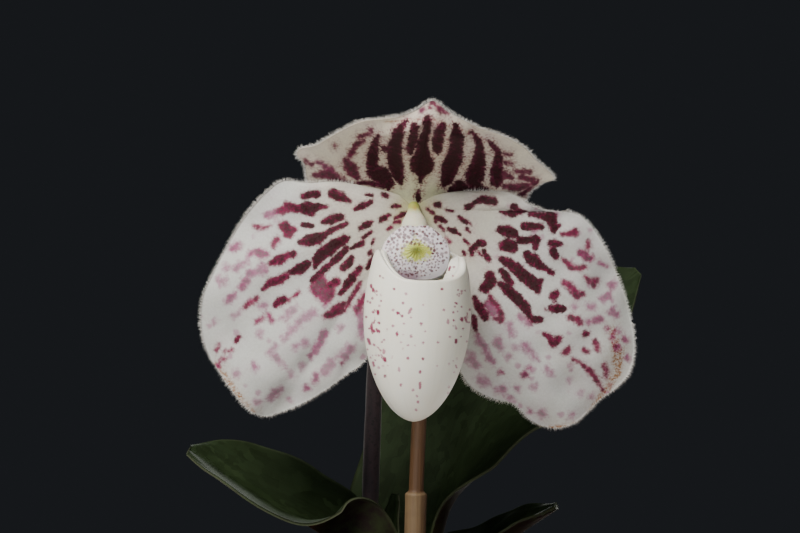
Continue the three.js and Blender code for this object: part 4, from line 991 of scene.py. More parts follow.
def spot_cover(tree, found, swell):
    """Depth inside a spot whose edge wanders and breaks up, and how far its dye hides the ground."""
    strength = found["spot_strength"]
    wander = add(tree, RANGE, {"Value": found["blotch"], "From Min": 0.25, "From Max": 0.75, "To Min": -0.15,
                               "To Max": 0.29})
    ragged = add(tree, RANGE, {"Value": strength, "From Min": 0.25, "From Max": 0.85, "To Min": 2.6})
    wander = add(tree, MATH, {0: wander, 1: ragged}, operation="MULTIPLY")
    wander = add(tree, MATH, {0: wander, 1: swell}, operation="ADD")
    breakup = add(tree, RANGE, {"Value": found["cell"], "To Min": -0.06, "To Max": 0.06})
    depth = found["spot_depth"]
    for shift in (wander, breakup):
        depth = add(tree, MATH, {0: depth, 1: shift}, operation="ADD")
    softness = add(tree, RANGE, {"Value": strength, "From Min": 0.3, "From Max": 0.9, "To Min": 0.55,
                                 "To Max": 0.23})
    outside = add(tree, MATH, {0: softness, 1: -1.0}, operation="MULTIPLY")
    cover = add(tree, RANGE, {"Value": depth, "From Min": outside, "From Max": softness}, **SOFT)
    opacity = add(tree, RANGE, {"Value": strength, "From Min": 0.25, "From Max": 0.5, "To Min": 0.68})
    loose = add(tree, RANGE, {"Value": strength, "From Min": 0.3, "From Max": 0.8, "To Min": 0.22, "To Max": 0.04})
    holes = add(tree, MATH, {0: found["cell"], 1: loose}, operation="MULTIPLY")
    kept = add(tree, MATH, {0: 1.0, 1: holes}, operation="SUBTRACT")
    seen = add(tree, RANGE, {"Value": found["front"], "To Min": BACK_SHOWS})
    for share in (opacity, kept, seen):
        cover = add(tree, MATH, {0: cover, 1: share}, operation="MULTIPLY")
    return depth, cover


print("a spot's share on the back:", BACK_SHOWS)

# %% The ground under the spots
# The last tint is real browning on the petals' old margins and painted shadow along the crease of the upper sepal.
TINTS = {"vein": "#a39b90", "cloud": "#cdbccd", "down": "#a3a09c", "age_and_crease_shade": "#8c6038"}


def petal_ground(tree, place, found, throat, middle, outer, reaches):
    """Throat, middle and outer colour, then veins, violet clouds, grey down, and a brown that is real browning on old
    petal margins and painted shadow along the hood's crease.
    """
    # The throat and middle colours also hold painted shade: round the staminode on the petals, inside the hood on the
    # upper sepal.
    near = add(tree, RANGE, {"Value": found["reach"], "From Min": reaches[0], "From Max": reaches[1]}, **SOFT)
    far = add(tree, RANGE, {"Value": found["reach"], "From Min": reaches[2], "From Max": reaches[3]})
    veins = add(tree, RANGE, {"Value": found["veins"], "From Min": 0.5, "From Max": 0.68, "To Max": 0.16})
    clouds = add(tree, NOISE, {"Vector": place, "Scale": per_metre(TISSUE["cloud"]), "Detail": 3.0})
    clouds = add(tree, RANGE, {"Value": clouds, "From Min": 0.45, "From Max": 0.8, "To Max": 0.25})
    down = add(tree, NOISE, {"Vector": place, "Scale": per_metre(TISSUE["down"]), "Roughness": 0.7})
    down = add(tree, RANGE, {"Value": down, "From Min": 0.35, "From Max": 0.7, "To Max": 0.3})
    grain = add(tree, RANGE, {"Value": found["cell"], "To Min": 0.2, "To Max": 1.5})
    # This brown is real browning on the petals and a painted crease shadow on the upper sepal.
    stain = add(tree, MATH, {0: found["aged_and_crease_shade"], 1: found["blotch"]}, operation="MULTIPLY")
    stain = add(tree, MATH, {0: stain, 1: grain}, operation="MULTIPLY", use_clamp=True)
    base = add(tree, MIX, {0: near, 6: colour(throat), 7: colour(middle)}, data_type="RGBA")
    for share, shade in zip((far, veins, clouds, down, stain), (outer, *TINTS.values())):
        base = add(tree, MIX, {0: share, 6: base, 7: colour(shade)}, data_type="RGBA")
    return base


print("tints over the ground:", TINTS)

# %% Dye, its loose grains and the small dots far out
FAR_DOTS = {"begin": 11.0, "full": 17.0, "bend": 1.2}      # mm from the flower's middle, and how far they stray


def spot_dye(tree, found, depth, thinned, pigment):
    """Full pigment where a spot is strong and deep, thinned dye where it is weak."""
    weight = add(tree, RANGE, {"Value": found["spot_strength"], "From Min": 0.4, "To Max": 0.78})
    grainy = add(tree, RANGE, {"Value": found["cell"], "To Min": -0.28, "To Max": 0.2})
    patchy = add(tree, RANGE, {"Value": found["blotch"], "From Min": 0.3, "From Max": 0.7, "To Min": -0.25,
                               "To Max": 0.25})
    inner = add(tree, RANGE, {"Value": depth, "From Max": 0.8, "To Min": -0.1, "To Max": 0.4})
    weight = add(tree, MATH, {0: weight, 1: grainy}, operation="ADD")
    weight = add(tree, MATH, {0: weight, 1: patchy}, operation="ADD")
    weight = add(tree, MATH, {0: weight, 1: inner}, operation="ADD", use_clamp=True)
    return add(tree, MIX, {0: weight, 6: thinned, 7: colour(pigment)}, data_type="RGBA")


def sprinkled(tree, place, found, depth, base, thinned, faint, speckle, flecked):
    """The ground with loose grains of dye round each spot, and small faint dots far out."""
    halo = add(tree, RANGE, {"Value": depth, "From Min": -1.3, "From Max": 0.2}, **SOFT)
    grains = add(tree, RANGE, {"Value": found["cell"], "From Min": 0.45, "From Max": 0.95, "To Min": 0.12,
                               "To Max": 0.6})
    halo = add(tree, MATH, {0: halo, 1: grains}, operation="MULTIPLY")
    halo = add(tree, MATH, {0: halo, 1: found["spot_strength"]}, operation="MULTIPLY")
    halo = add(tree, MATH, {0: halo, 1: speckle}, operation="MULTIPLY", use_clamp=True)
    base = add(tree, MIX, {0: halo, 6: base, 7: thinned}, data_type="RGBA")
    bent = add(tree, "ShaderNodeVectorMath", {0: found["bend"], 1: (FAR_DOTS["bend"] * MM,) * 3, 2: place},
               operation="MULTIPLY_ADD")
    flecks = add(tree, CELLS, {"Vector": bent, "Scale": per_metre(TISSUE["far_dot"])})
    lot = add(tree, "ShaderNodeSeparateColor", {0: flecks.outputs["Color"]}).outputs[1]
    fleck = add(tree, RANGE, {"Value": flecks.outputs["Distance"], "From Min": 0.3, "From Max": 0.1,
                              "To Max": 0.5}, **SOFT)
    chosen = add(tree, RANGE, {"Value": lot, "From Min": 0.25, "From Max": 0.5})
    outward = add(tree, RANGE, {"Value": found["reach"], "From Min": FAR_DOTS["begin"],
                                "From Max": FAR_DOTS["full"], "To Max": flecked})
    for share in (chosen, outward):
        fleck = add(tree, MATH, {0: fleck, 1: share}, operation="MULTIPLY")
    return add(tree, MIX, {0: fleck, 6: base, 7: colour(faint)}, data_type="RGBA")


print("far dots:", FAR_DOTS)

# %% Petal and sepal finishes
def petal_finish(name, throat, middle, outer, reaches, pigment, thin, faint, swell, speckle, flecked):
    """Living petal tissue, grown as a layer of cone-shaped cells: velvety, with hardly any gloss, and pebbled
    coarser than the real cells, so that it shows. reaches are the distances in mm over which throat turns to
    middle and middle to outer colour; pigment, thin and faint are the colours of strong, middling and weak
    spots; swell widens the spots by so many mm; speckle is how many grains of dye lie round a spot, and
    flecked how plain the small dots far out are."""
    material, tree, shader, place = new_material(
        name, Roughness=0.62, Sheen_Weight=0.03, Sheen_Roughness=0.5, Specular_IOR_Level=0.12)
    found = tissue(tree, place)
    depth, cover = spot_cover(tree, found, swell)
    washed = add(tree, RANGE, {"Value": found["spot_strength"], "From Min": 0.35, "From Max": 0.62})
    thinned = add(tree, MIX, {0: washed, 6: colour(faint), 7: colour(thin)}, data_type="RGBA")
    base = petal_ground(tree, place, found, throat, middle, outer, reaches)
    base = sprinkled(tree, place, found, depth, base, thinned, faint, speckle, flecked)
    dye = spot_dye(tree, found, depth, thinned, pigment)
    final = add(tree, MIX, {0: cover, 6: base, 7: dye}, data_type="RGBA")
    pebble = add(tree, NOISE, {"Vector": place, "Scale": per_metre(TISSUE["pebble"]), "Detail": 1.0})
    ridges = add(tree, MATH, {0: found["veins"], 1: 1.4}, operation="MULTIPLY")
    height = add(tree, MATH, {0: pebble, 1: ridges}, operation="ADD")
    dress(tree, shader, final, height, 0.3, 0.12)
    return material


# Painted shade: the petals' greenish throat colour is darkened and spread out to 6.2 mm, so that it also stands for
# the shade round the staminode and column.
petal_skin = petal_finish("petal tissue", "#abab76", "#c8c5b8", "#c4c7c4", (1.0, 6.2, 12.0, 20.0),
                          "#2c040d", "#861e4c", "#94366f", 0.0, 0.45, 1.0)
# Painted shade: the sepal's middle colour is set darker than its outer one, for the shade inside the hood, which the
# light from above doesn't reach.
sepal_skin = petal_finish("sepal tissue", "#d9dab2", "#cdc3ad", "#d6cfbe", (3.0, 8.5, 11.0, 18.0),
                          "#26040b", "#6e1a41", "#843866", 0.05, 1.7, 0.0)
fringe_hair = hair_finish("white fringe hair", "#e6e2da", "#f6f4f0", 0.5)
print("petal nodes:", len(petal_skin.node_tree.nodes))

# %% [markdown]
# ## Petals and sepals
# Each spreads from the flower's middle to a rim that is listed point by point, so any outline can be made
# from one formula. The formula also says how deep each place lies: petals swell forward a little and bend
# back at their far ends, and the upper sepal arches over the flower as a hood whose tip turns up again.

# %% Rims and depth formulas
FLOWER = np.array([2.9, -20, 137.4])
ORGAN = {"thickness": 0.75, "root": 1.0}       # the roots reach in until they meet the column
PETAL_LEFT_RIM = [
    [-2.4, 0, 2.1], [-6.6, -0.2, 3.2], [-12.3, -0.6, 4.1], [-17.4, -1, 3.9], [-20.9, -1.2, 4.2],
    [-23.6, -1, 2.3], [-25.9, -0.4, -0.1], [-28, 0.4, -2.9], [-30.2, 0.2, -6.8], [-32.2, -0.8, -10.7],
    [-33.9, -0.8, -14.7], [-34.2, 0.4, -19.5], [-33.1, 1, -23.5], [-31.1, 0.2, -26.7], [-28.8, -0.9, -29.9],
    [-26.5, -0.6, -32.5], [-24.3, 0.6, -33.5], [-22.2, 0.9, -33.1], [-18.2, 0.2, -31.5], [-14.2, -0.2, -29.1],
    [-11, 0, -26.7], [-8.3, 0.1, -24.8], [-5.8, 0, -20.3], [-3.2, 0, -12.3], [-1.4, 0, -5.9], [-0.7, 0, -3.1]]
PETAL_RIGHT_RIM = [
    [2.6, 0, 1.5], [5.4, -0.1, 2.4], [9.1, -0.4, 2.7], [13.8, -0.9, 2.5], [16.2, -1.6, 1.9],
    [18.1, -2.1, 0.6], [20.2, -1.6, -0.2], [22.2, -0.6, -0.6], [25.2, 0, -0.8], [27.2, -0.3, -1.8],
    [29.3, -0.9, -4.2], [31.1, -0.6, -7.3], [32.9, 0.4, -11.4], [34.6, 0.8, -16.2], [35.6, 0, -21.6],
    [35, -0.8, -26], [33, -0.2, -28.7], [30.3, 0.7, -30.7], [28.1, 0.2, -32.9], [26.1, -0.7, -34.5],
    [23.4, -0.5, -35.4], [21, 0.3, -35.1], [18.6, 0.6, -33.9], [16.2, 0.2, -31.5], [13, 0.3, -30.7],
    [9.8, 0.2, -29.1], [7.8, 0, -26.6], [5.8, 0, -20.3], [3.4, 0, -12.3], [1.6, 0, -5.9], [0.8, 0, -3.1]]
DORSAL_RIM = [
    [-3, 1.5, 0.2], [-7, 1.6, 0.5], [-13.4, 1.6, 1.1], [-16.4, 1.3, 2.8], [-17.1, 0.6, 4.7],
    [-17.4, -1, 6.9], [-18.6, -2.5, 8.4], [-17.9, -3.5, 9.4], [-15.4, -4.5, 9.9], [-12.5, -6.5, 11.5],
    [-8.5, -9, 13.3], [-4.6, -11, 13.7], [-2.2, -11.8, 14], [0.1, -12.2, 14.8], [1.7, -12.3, 15.8],
    [2.9, -12.3, 16.4], [3.9, -12.3, 15.9], [5, -12, 14.9], [7.4, -11.5, 13.6], [10.3, -10.5, 12.3],
    [14.3, -8.5, 11], [17.4, -6.5, 9.4], [19.4, -5, 7.4], [21.6, -3.5, 5.6], [22.2, -2.5, 4.5],
    [20.5, -1, 4], [18.6, 0.5, 2.6], [17.6, 1.2, 1.1], [13.8, 1.6, 0.4], [7.4, 1.6, 0.1], [3, 1.5, 0]]
SYNSEPAL_RIM = [
    [2.2, 1.5, -2], [5.4, 1.5, -6.5], [6.8, 1.3, -12], [6.4, 1.2, -18], [4.2, 0.6, -23],
    [0.6, 0, -26], [-3, 0.6, -23], [-5.6, 1.2, -18], [-6.2, 1.3, -12], [-4.8, 1.5, -6.5], [-2, 1.5, -2]]


def petal_depth(u, rim_depth, t, radius):
    swell, bend, span = -1.6, 3.0, 36.0
    form = rim_depth * u**2 + bend * (radius / span) ** 3 + swell * np.sin(np.pi * u) * np.sin(np.pi * t)
    folds = 0.22 * np.sin(radius * 0.9 + 9 * t) * np.sin(t * 34) * smooth(0.35, 0.9, u)
    return form + folds


def dorsal_depth(u, rim_depth, t, radius):
    root, fold, fold_depth = 1.5, 0.82, -13.6
    bowl = mix(root, rim_depth, u**1.9)
    hood = mix(root, fold_depth, np.minimum(u / fold, 1) ** 1.7)
    turned_up = mix(hood, rim_depth, smooth(fold - 0.06, 1, u))
    middle = smooth(0.3, 0.46, t) * (1 - smooth(0.56, 0.68, t))
    return mix(bowl, turned_up, middle) + 0.12 * np.sin(t * 60) * u * (1 - middle)


def synsepal_depth(u, rim_depth, t, radius):
    return mix(1.5, rim_depth, u**2) + 0.7 * np.sin(np.pi * u) * smooth(3, 9, radius)


def spread(rim, along, across, depth_at):
    """The sheet from the root ring to the rim, with how far out (reach) and round (ray) each point is."""
    t = np.linspace(0, 1, across + 1)
    edge = through(rim, t)
    reach = np.hypot(edge[:, 0], edge[:, 2])
    u = np.linspace(0, 1, along + 1)[:, None]
    radius = mix(np.minimum(ORGAN["root"], reach - 0.2), reach, u)
    sheet = np.stack([edge[:, 0] / reach * radius, depth_at(u, edge[:, 1], t, radius) + 0 * radius,
                      edge[:, 2] / reach * radius], -1) + FLOWER
    angle = np.unwrap(np.arctan2(edge[:, 2], edge[:, 0]))
    return sheet, radius, angle[None] * 14 + 0 * radius, u + 0 * radius


print("rim points:", len(PETAL_LEFT_RIM), len(PETAL_RIGHT_RIM), len(DORSAL_RIM), len(SYNSEPAL_RIM))

# %% Four blades with their spots
ORGANS = {
    "petal_left": (PETAL_LEFT_RIM[::-1], petal_depth, petal_skin, "petal", LEFT_SPOTS, LEFT_AGED, 260, 150),
    "petal_right": (PETAL_RIGHT_RIM, petal_depth, petal_skin, "petal", RIGHT_SPOTS, RIGHT_AGED, 260, 150),
    "dorsal_sepal": (DORSAL_RIM, dorsal_depth, sepal_skin, "sepal", SEPAL_SPOTS, RIDGE_LINE, 260, 130),
    "synsepal": (SYNSEPAL_RIM, synsepal_depth, sepal_skin, "sepal", [], [], 120, 90)}
sheets = {}
for name, (rim, depth_at, skin, slot, spots, aged_and_crease_shade, across, along) in ORGANS.items():
    sheet, reach, ray, u = spread(rim, along, across, depth_at)
    sheets[name] = sheet
    grid = front_grid(sheet)
    depth, strength = stroke_depth(grid, spots)
    # For the upper sepal these strokes are the ridge line: painted shadow along the crease, not browning.
    worn, _ = stroke_depth(grid, aged_and_crease_shade)
    aged_and_crease_share = 1.2 * smooth(-0.35, 0.25, worn) + 0.25 * smooth(-2.5, 0.0, worn) * (slot == "petal")
    thickness = ORGAN["thickness"] * (1 - 0.8 * smooth(0.8, 1, u))
    points, faces, numbers = blade_mesh(sheet, thickness, {
        "spot_depth": depth, "spot_strength": strength, "reach": reach, "ray": ray, "aged_and_crease_shade": aged_and_crease_share})
    piece(name + "_blade", points, faces, skin, [name], numbers)

# %% [markdown]
# ## The white fringe
# Against a dark ground the first thing one sees is the halo of short white hairs round every petal. They
# grow from the edge itself. Blender's own hair curves aren't used; instead a narrow ribbon is laid
# along the edge, facing outwards, and the hair tree plants its hairs on it; the ribbon itself isn't kept.

# %% Hairs along the edges
def edge_ribbon(sheet, half_width=0.15, skip=0.06):
    """A strip across the blade's edge, without the parts near the root, where petals have no hairs."""
    rim, inside = sheet[-1], sheet[-6]
    normal = sheet_normals(sheet)[-1]
    columns = len(rim)
    kept = slice(int(columns * skip), int(columns * (1 - skip)))
    ribbon = np.stack([rim - normal * half_width, rim + normal * half_width])[:, kept]
    outward = unit(rim - inside)[kept]
    faces = grid_faces(2, ribbon.shape[1])
    looks = np.cross(ribbon[1, 0] - ribbon[0, 0], ribbon[0, 1] - ribbon[0, 0])
    if np.dot(looks, outward[0]) < 0:
        faces = faces[:, ::-1]
    return ribbon.reshape(-1, 3), faces


for seed, name in enumerate(("petal_left", "petal_right", "dorsal_sepal", "synsepal")):
    points, faces = edge_ribbon(sheets[name])
    scattered(name + "_fringe", points, faces, HAIRS, HAIR_SOCKETS, fringe_hair,
              count=60, length=0.85, thickness=0.056, lean=0.5, seed=40 + seed)

# %% [markdown]
# ## The pouch
# The lip is an egg-shaped bag whose edge rolls inwards, waxy and smooth, cream white with small dots from
# pink to maroon that thin out towards the middle. A squashed ball would have no wall and no mouth, so it is
# the same lofted bag as in the construction, with inner and outer walls joined at the rolled edge.

# %% Pouch dots
POUCH_DOTS = [
    (0.9, (380, 276, 1.8)), (0.8, (383, 278, 1.4)), (0.85, (371, 285, 1.8), (371, 287, 1.8)),
    (0.85, (373, 289, 1.8), (373, 291, 1.6)), (0.8, (394, 289, 2)), (0.8, (442, 289, 2.2)), (0.4, (406, 294, 2.4)),
    (0.6, (403, 303, 2)), (0.3, (423, 305, 1.6)), (0.75, (373, 312, 2)), (1, (378, 311, 2.2), (378, 314, 2)),
    (0.95, (375, 319, 2)), (0.8, (372, 322, 1.6)), (0.7, (379, 323, 2.4)), (1, (371, 327, 2.4), (372, 330, 2.2)),
    (0.7, (374, 331, 2.6)), (0.75, (379, 331, 2.4)), (0.5, (387, 330, 2)), (0.4, (393, 310, 2.2)),
    (0.75, (398, 313, 3)), (0.85, (402, 316, 2.4)), (0.55, (411, 309, 2.2), (409, 313, 2)), (0.4, (411, 317, 2)),
    (0.5, (404, 324, 2.2)), (0.45, (393, 326, 2.6)), (0.6, (421, 324, 3)), (0.7, (397, 333, 2.6), (397, 335, 2.4)),
    (0.35, (403, 335, 2)), (0.5, (411, 336, 3)), (0.4, (425, 331, 2.2)), (0.5, (438, 342, 2.4)),
    (0.4, (448, 320, 2), (448, 323, 2)), (0.45, (456, 329, 1.8)), (0.4, (450, 337, 2)),
    (0.95, (456, 340, 2.2), (456, 343, 2)), (0.9, (461, 319, 2.6), (463, 321, 1.6)), (0.6, (466, 320, 1.8)),
    (0.6, (463, 329, 2)), (0.5, (461, 337, 1.6)), (0.5, (444, 310, 2)), (0.8, (368, 339, 2), (370, 344, 1.8)),
    (0.55, (384, 340, 2)), (0.6, (374, 345, 2.2)), (0.3, (401, 342, 2)), (0.5, (408, 345, 2)), (0.5, (423, 343, 2.4)),
    (0.3, (415, 346, 1.6)), (0.4, (384, 350, 2.2), (384, 353, 2)), (0.35, (403, 349, 2)), (0.5, (379, 356, 1.8)),
    (0.35, (392, 357, 2)), (0.6, (408, 358, 2.8)), (0.85, (423, 359, 2.4)), (1, (385, 359, 2.8), (385, 361, 2.4)),
    (0.35, (388, 365, 1.6)), (0.7, (373, 362, 1.8), (374, 366, 1.8)), (0.45, (379, 368, 1.8)),
    (0.4, (399, 368, 1.8), (399, 371, 1.8)), (0.7, (420, 372, 2.8)), (0.3, (437, 366, 1.6)), (0.6, (375, 374, 2)),
    (0.95, (385, 376, 2.6)), (0.6, (420, 383, 2), (420, 388, 2)), (0.6, (401, 385, 2.4)), (0.45, (413, 390, 2.4)),
    (0.4, (417, 396, 2)), (0.55, (418, 402, 2.2)), (0.45, (416, 410, 2)), (0.35, (449, 364, 1.8)),
    (0.3, (457, 359, 1.6)), (0.3, (454, 372, 1.5)), (0.3, (449, 387, 2)), (0.3, (448, 393, 1.8)),
    (0.9, (449, 270, 1.8), (450, 267, 1.6)), (0.9, (445, 273, 1.8)), (0.6, (454, 267, 1.8)), (0.5, (453, 276, 1.6)),
    (0.85, (439, 276, 1.6), (439, 279, 1.4)), (0.6, (441, 265, 1.4)), (0.5, (447, 261, 1.4))]
SIDE_DOTS = {"middle": 418, "off_middle": (34, 53), "down": (290, 372), "strength": (0.3, 0.8), "width": (1.0, 1.9)}
more = np.random.default_rng(5)


def extra_dots(count):
    """Small faint dots towards the two sides, where the pouch is more thickly dotted."""
    made = []
    for _ in range(count):
        side = more.choice([-1, 1])
        right = SIDE_DOTS["middle"] + side * more.uniform(*SIDE_DOTS["off_middle"])
        made.append((more.uniform(*SIDE_DOTS["strength"]),
                     (right, more.uniform(*SIDE_DOTS["down"]), more.uniform(*SIDE_DOTS["width"]))))
    return made


print("pouch dots placed by hand:", len(POUCH_DOTS))

# %% Pouch finish
# Fleshy petal tissue with smooth cells under a thin coat of natural wax: a soft gloss, and light that sinks
# 1.5 mm into the wall. The cells that hold its dye are drawn 0.16 mm wide. Its ivory is painted lighter
# towards the top, as light falling from above, and greyer at the bottom as painted shade.
pouch_skin, tree, shader, place = new_material(
    "waxy pouch", Roughness=0.4, Subsurface_Weight=0.22, Subsurface_Scale=1.5 * MM, Specular_IOR_Level=0.45,
    Coat_Weight=0.08, Coat_Roughness=0.3)
shader.inputs["Subsurface Radius"].default_value = (1.0, 0.8, 0.6)
depth, strength, height, round_it = (add(tree, ATTRIBUTE, attribute_name=label).outputs["Fac"]
                                     for label in ("spot_depth", "spot_strength", "height", "turn"))
cells = add(tree, CELLS, {"Vector": place, "Scale": per_metre(0.16)}).outputs["Color"]
cell_tone = add(tree, "ShaderNodeSeparateColor", {0: cells})
breakup = add(tree, RANGE, {"Value": cell_tone, "To Min": -0.05, "To Max": 0.05})
depth = add(tree, MATH, {0: depth, 1: breakup}, operation="ADD")
cover = add(tree, RANGE, {"Value": depth, "From Min": -0.15, "From Max": 0.03}, **SOFT)
opacity = add(tree, RANGE, {"Value": strength, "From Max": 0.7, "To Min": 0.25})
cover = add(tree, MATH, {0: cover, 1: opacity}, operation="MULTIPLY")
# Painted light: the ivory grows brighter towards the top of the pouch, where light falls from above, and greyer below
# as painted shade.
painted_top_light = add(tree, RANGE, {"Value": height, "From Min": -33.0, "From Max": -8.0})
ivory = add(tree, MIX, {0: painted_top_light, 6: colour("#e2e2d8"), 7: colour("#faf8ea")}, data_type="RGBA")
flush = add(tree, NOISE, {"Vector": place, "Scale": per_metre(5)})
flush = add(tree, RANGE, {"Value": flush, "From Min": 0.45, "From Max": 0.8, "To Max": 0.3})
ivory = add(tree, MIX, {0: flush, 6: ivory, 7: colour("#e3dccc")}, data_type="RGBA")
slow_height = add(tree, MATH, {0: height, 1: 0.08}, operation="MULTIPLY")
vein_place = add(tree, "ShaderNodeCombineXYZ", {0: round_it, 1: slow_height})
veins = add(tree, NOISE, {"Vector": vein_place, "Scale": 1 / 1.4})
vein_tone = add(tree, RANGE, {"Value": veins, "From Min": 0.52, "From Max": 0.7, "To Max": 0.16})
ivory = add(tree, MIX, {0: vein_tone, 6: ivory, 7: colour("#c6c8b4")}, data_type="RGBA")
dye = add(tree, MIX, {0: strength, 6: colour("#c0608a"), 7: colour("#7a1238")}, data_type="RGBA")
final = add(tree, MIX, {0: cover, 6: ivory, 7: dye}, data_type="RGBA")
dress(tree, shader, final, veins, 0.12, 0.1)
print("pouch nodes:", len(tree.nodes))

# %% The bag's form
POUCH = {"wall": 0.9, "middle_x": 0.5, "middle_y": -13.2, "depth_ratio": 0.95, "half": 8.35, "widest": -17.0,
         "bottom": -33.5, "top": 0.5, "roll": 1.1, "side_roll": (-0.4, 1.1)}
MOUTH = [[0, -11.4, -11.4], [18, -11.1, -11.4], [30, -10.3, -11.3], [43, -9.1, -11], [55, -7.9, -10.4],
         [68, -6.9, -9.6], [80, -6.6, -8.4], [92, -6.7, -7.8], [110, -6.9, -7.7], [135, -6.3, -6.7],
         [150, -5.3, -5.5], [162, -6.3, -6.4], [180, -6.8, -6.8]]


def pouch_half(z, inset):
    """Half the width at height z: an egg that narrows a little faster below its widest place than above."""
    below = z < POUCH["widest"]
    reach = np.where(below, POUCH["widest"] - POUCH["bottom"] - inset, POUCH["top"] - POUCH["widest"])
    power = np.where(below, 1.85, 2.0)
    share = np.minimum(abs(z - POUCH["widest"]) / reach, 1)
    return (POUCH["half"] - inset) * (1 - share**power) ** (1 / power)


def mouth_height(angle, column):
    """The mouth's edge at an angle from the front, in degrees; column 1 is its left side and 2 its right."""
    keys = [row[0] for row in MOUTH]
    i = np.clip(np.searchsorted(keys, angle, side="left") - 1, 0, len(MOUTH) - 2)
    t = (i + (angle - keys[i]) / (keys[i + 1] - keys[i])) / (len(MOUTH) - 1)
    return through(MOUTH, t)[0, column]


def pouch_rings(inset, ring_count=110, turn=200):
    """Rings from the bottom to the mouth, whose edge then rolls in; inset is the wall's thickness or none."""
    bowl_share, roll_start = 0.55, 0.9
    t = (np.arange(1, ring_count + 1) / ring_count)[:, None]
    j = np.arange(turn)
    angle = 2 * np.pi * j / turn
    mouth = np.array([mouth_height(360 * min(k, turn - k) / turn, 1 if k > turn / 2 else 2) for k in j])
    bowl = np.minimum(t / bowl_share, 1)
    climb = np.clip((t - bowl_share) / (roll_start + 0.03 - bowl_share), 0, 1)
    rolled = smooth(roll_start, 1, t)
    low = POUCH["widest"] - (POUCH["widest"] - POUCH["bottom"] - inset) * np.cos(bowl * np.pi / 2)
    level = mix(low, mouth[None], climb)
    from_front = 360 * np.minimum(j, turn - j) / turn
    side_roll = np.where(j > turn / 2, *POUCH["side_roll"])
    roll = POUCH["roll"] + side_roll * np.exp(-(((from_front - 62) / 26) ** 2))
    half = pouch_half(level, inset) - roll * rolled
    z = level - 0.5 * rolled
    lean = smooth(-9, -3.4, z) * 4.2
    middle_x = POUCH["middle_x"] * np.minimum(1, (z - POUCH["bottom"]) / (POUCH["widest"] - POUCH["bottom"]))
    middle_x = middle_x + 0.25 * smooth(-18, -9, z)
    return np.stack([middle_x + half * np.sin(angle),
                     POUCH["middle_y"] + lean - half * POUCH["depth_ratio"] * np.cos(angle), z], -1) + FLOWER


print("half width at the widest place:", pouch_half(np.array(POUCH["widest"]), 0))

# %% Both walls of the bag
outer, inner = pouch_rings(0.0), pouch_rings(POUCH["wall"])
rows, columns = outer.shape[:2]
size = rows * columns
tips = [FLOWER + [0, POUCH["middle_y"], POUCH["bottom"] + inset] for inset in (0, POUCH["wall"])]
points = np.concatenate([outer.reshape(-1, 3), inner.reshape(-1, 3), tips])
faces = shell_faces(rows, columns, size, (2 * size, 2 * size + 1))
depth, strength = stroke_depth(front_grid(points)[:, None], POUCH_DOTS + extra_dots(70))
facing_us = points[:, 1] < FLOWER[1] + POUCH["middle_y"] + 1.5
depth = np.where(facing_us, depth[:, 0], -3.0)
local = points - FLOWER - [POUCH["middle_x"], POUCH["middle_y"], 0]
turn = np.arctan2(local[:, 0], -local[:, 1]) * POUCH["half"]
piece("pouch_bag", points, faces, pouch_skin, ["pouch"],
      {"spot_depth": depth, "spot_strength": strength[:, 0], "height": local[:, 2], "turn": turn})

# %% [markdown]
# ## Column and staminode
# In front of the pouch's mouth sits the staminode, a domed shield on the end of the column. It is white,
# peppered with maroon specks, has a chartreuse patch that is wrinkled like a fingerprint, and wears a fringe
# of fine upright hairs. The column behind it is ivory and turns green where the petals meet. A few formulas
# shape both, because each swelling, notch and wrinkle can then be tuned alone.

# %% Staminode finish
# A fleshy shield with a fine down: matt, with a pale sheen, and its dye in cells drawn 0.14 mm wide.
shield_skin, tree, shader, place = new_material("peppered staminode", Roughness=0.5, Sheen_Weight=0.25,
                                                Subsurface_Weight=0.15, Subsurface_Scale=0.8 * MM)
depth, strength, patch, olive, blush = (add(tree, ATTRIBUTE, attribute_name=label).outputs["Fac"] for label in (
    "spot_depth", "spot_strength", "patch", "olive", "blush"))
cells = add(tree, CELLS, {"Vector": place, "Scale": per_metre(0.14)}).outputs["Color"]
cell_tone = add(tree, "ShaderNodeSeparateColor", {0: cells})
breakup = add(tree, RANGE, {"Value": cell_tone, "To Min": -0.06, "To Max": 0.06})
depth = add(tree, MATH, {0: depth, 1: breakup}, operation="ADD")
cover = add(tree, RANGE, {"Value": depth, "From Min": -0.07, "From Max": 0.06}, **SOFT)
cover = add(tree, MATH, {0: cover, 1: strength}, operation="MULTIPLY")
mist = add(tree, NOISE, {"Vector": place, "Scale": per_metre(0.9), "Detail": 3.0})
white = add(tree, MIX, {0: mist, 6: colour("#d3cad6"), 7: colour("#ece8eb")}, data_type="RGBA")
white = add(tree, MIX, {0: blush, 6: white, 7: colour("#7d3f6b")}, data_type="RGBA")
green = add(tree, MIX, {0: mist, 6: colour("#a3ac3e"), 7: colour("#c4ca62")}, data_type="RGBA")
green = add(tree, MIX, {0: olive, 6: green, 7: colour("#737a1e")}, data_type="RGBA")
frayed = add(tree, NOISE, {"Vector": place, "Scale": per_metre(0.45), "Detail": 3.0, "Roughness": 0.7})
frayed = add(tree, RANGE, {"Value": frayed, "From Min": 0.3, "From Max": 0.7, "To Min": -0.55, "To Max": 0.35})
patch = add(tree, MATH, {0: patch, 1: frayed}, operation="ADD")
patch = add(tree, RANGE, {"Value": patch, "From Min": 0.1, "From Max": 0.75}, **SOFT)
white = add(tree, MIX, {0: patch, 6: white, 7: green}, data_type="RGBA")
final = add(tree, MIX, {0: cover, 6: white, 7: colour("#531226")}, data_type="RGBA")
dress(tree, shader, final, cell_tone, 0.35, 0.06)
print("staminode nodes:", len(tree.nodes))

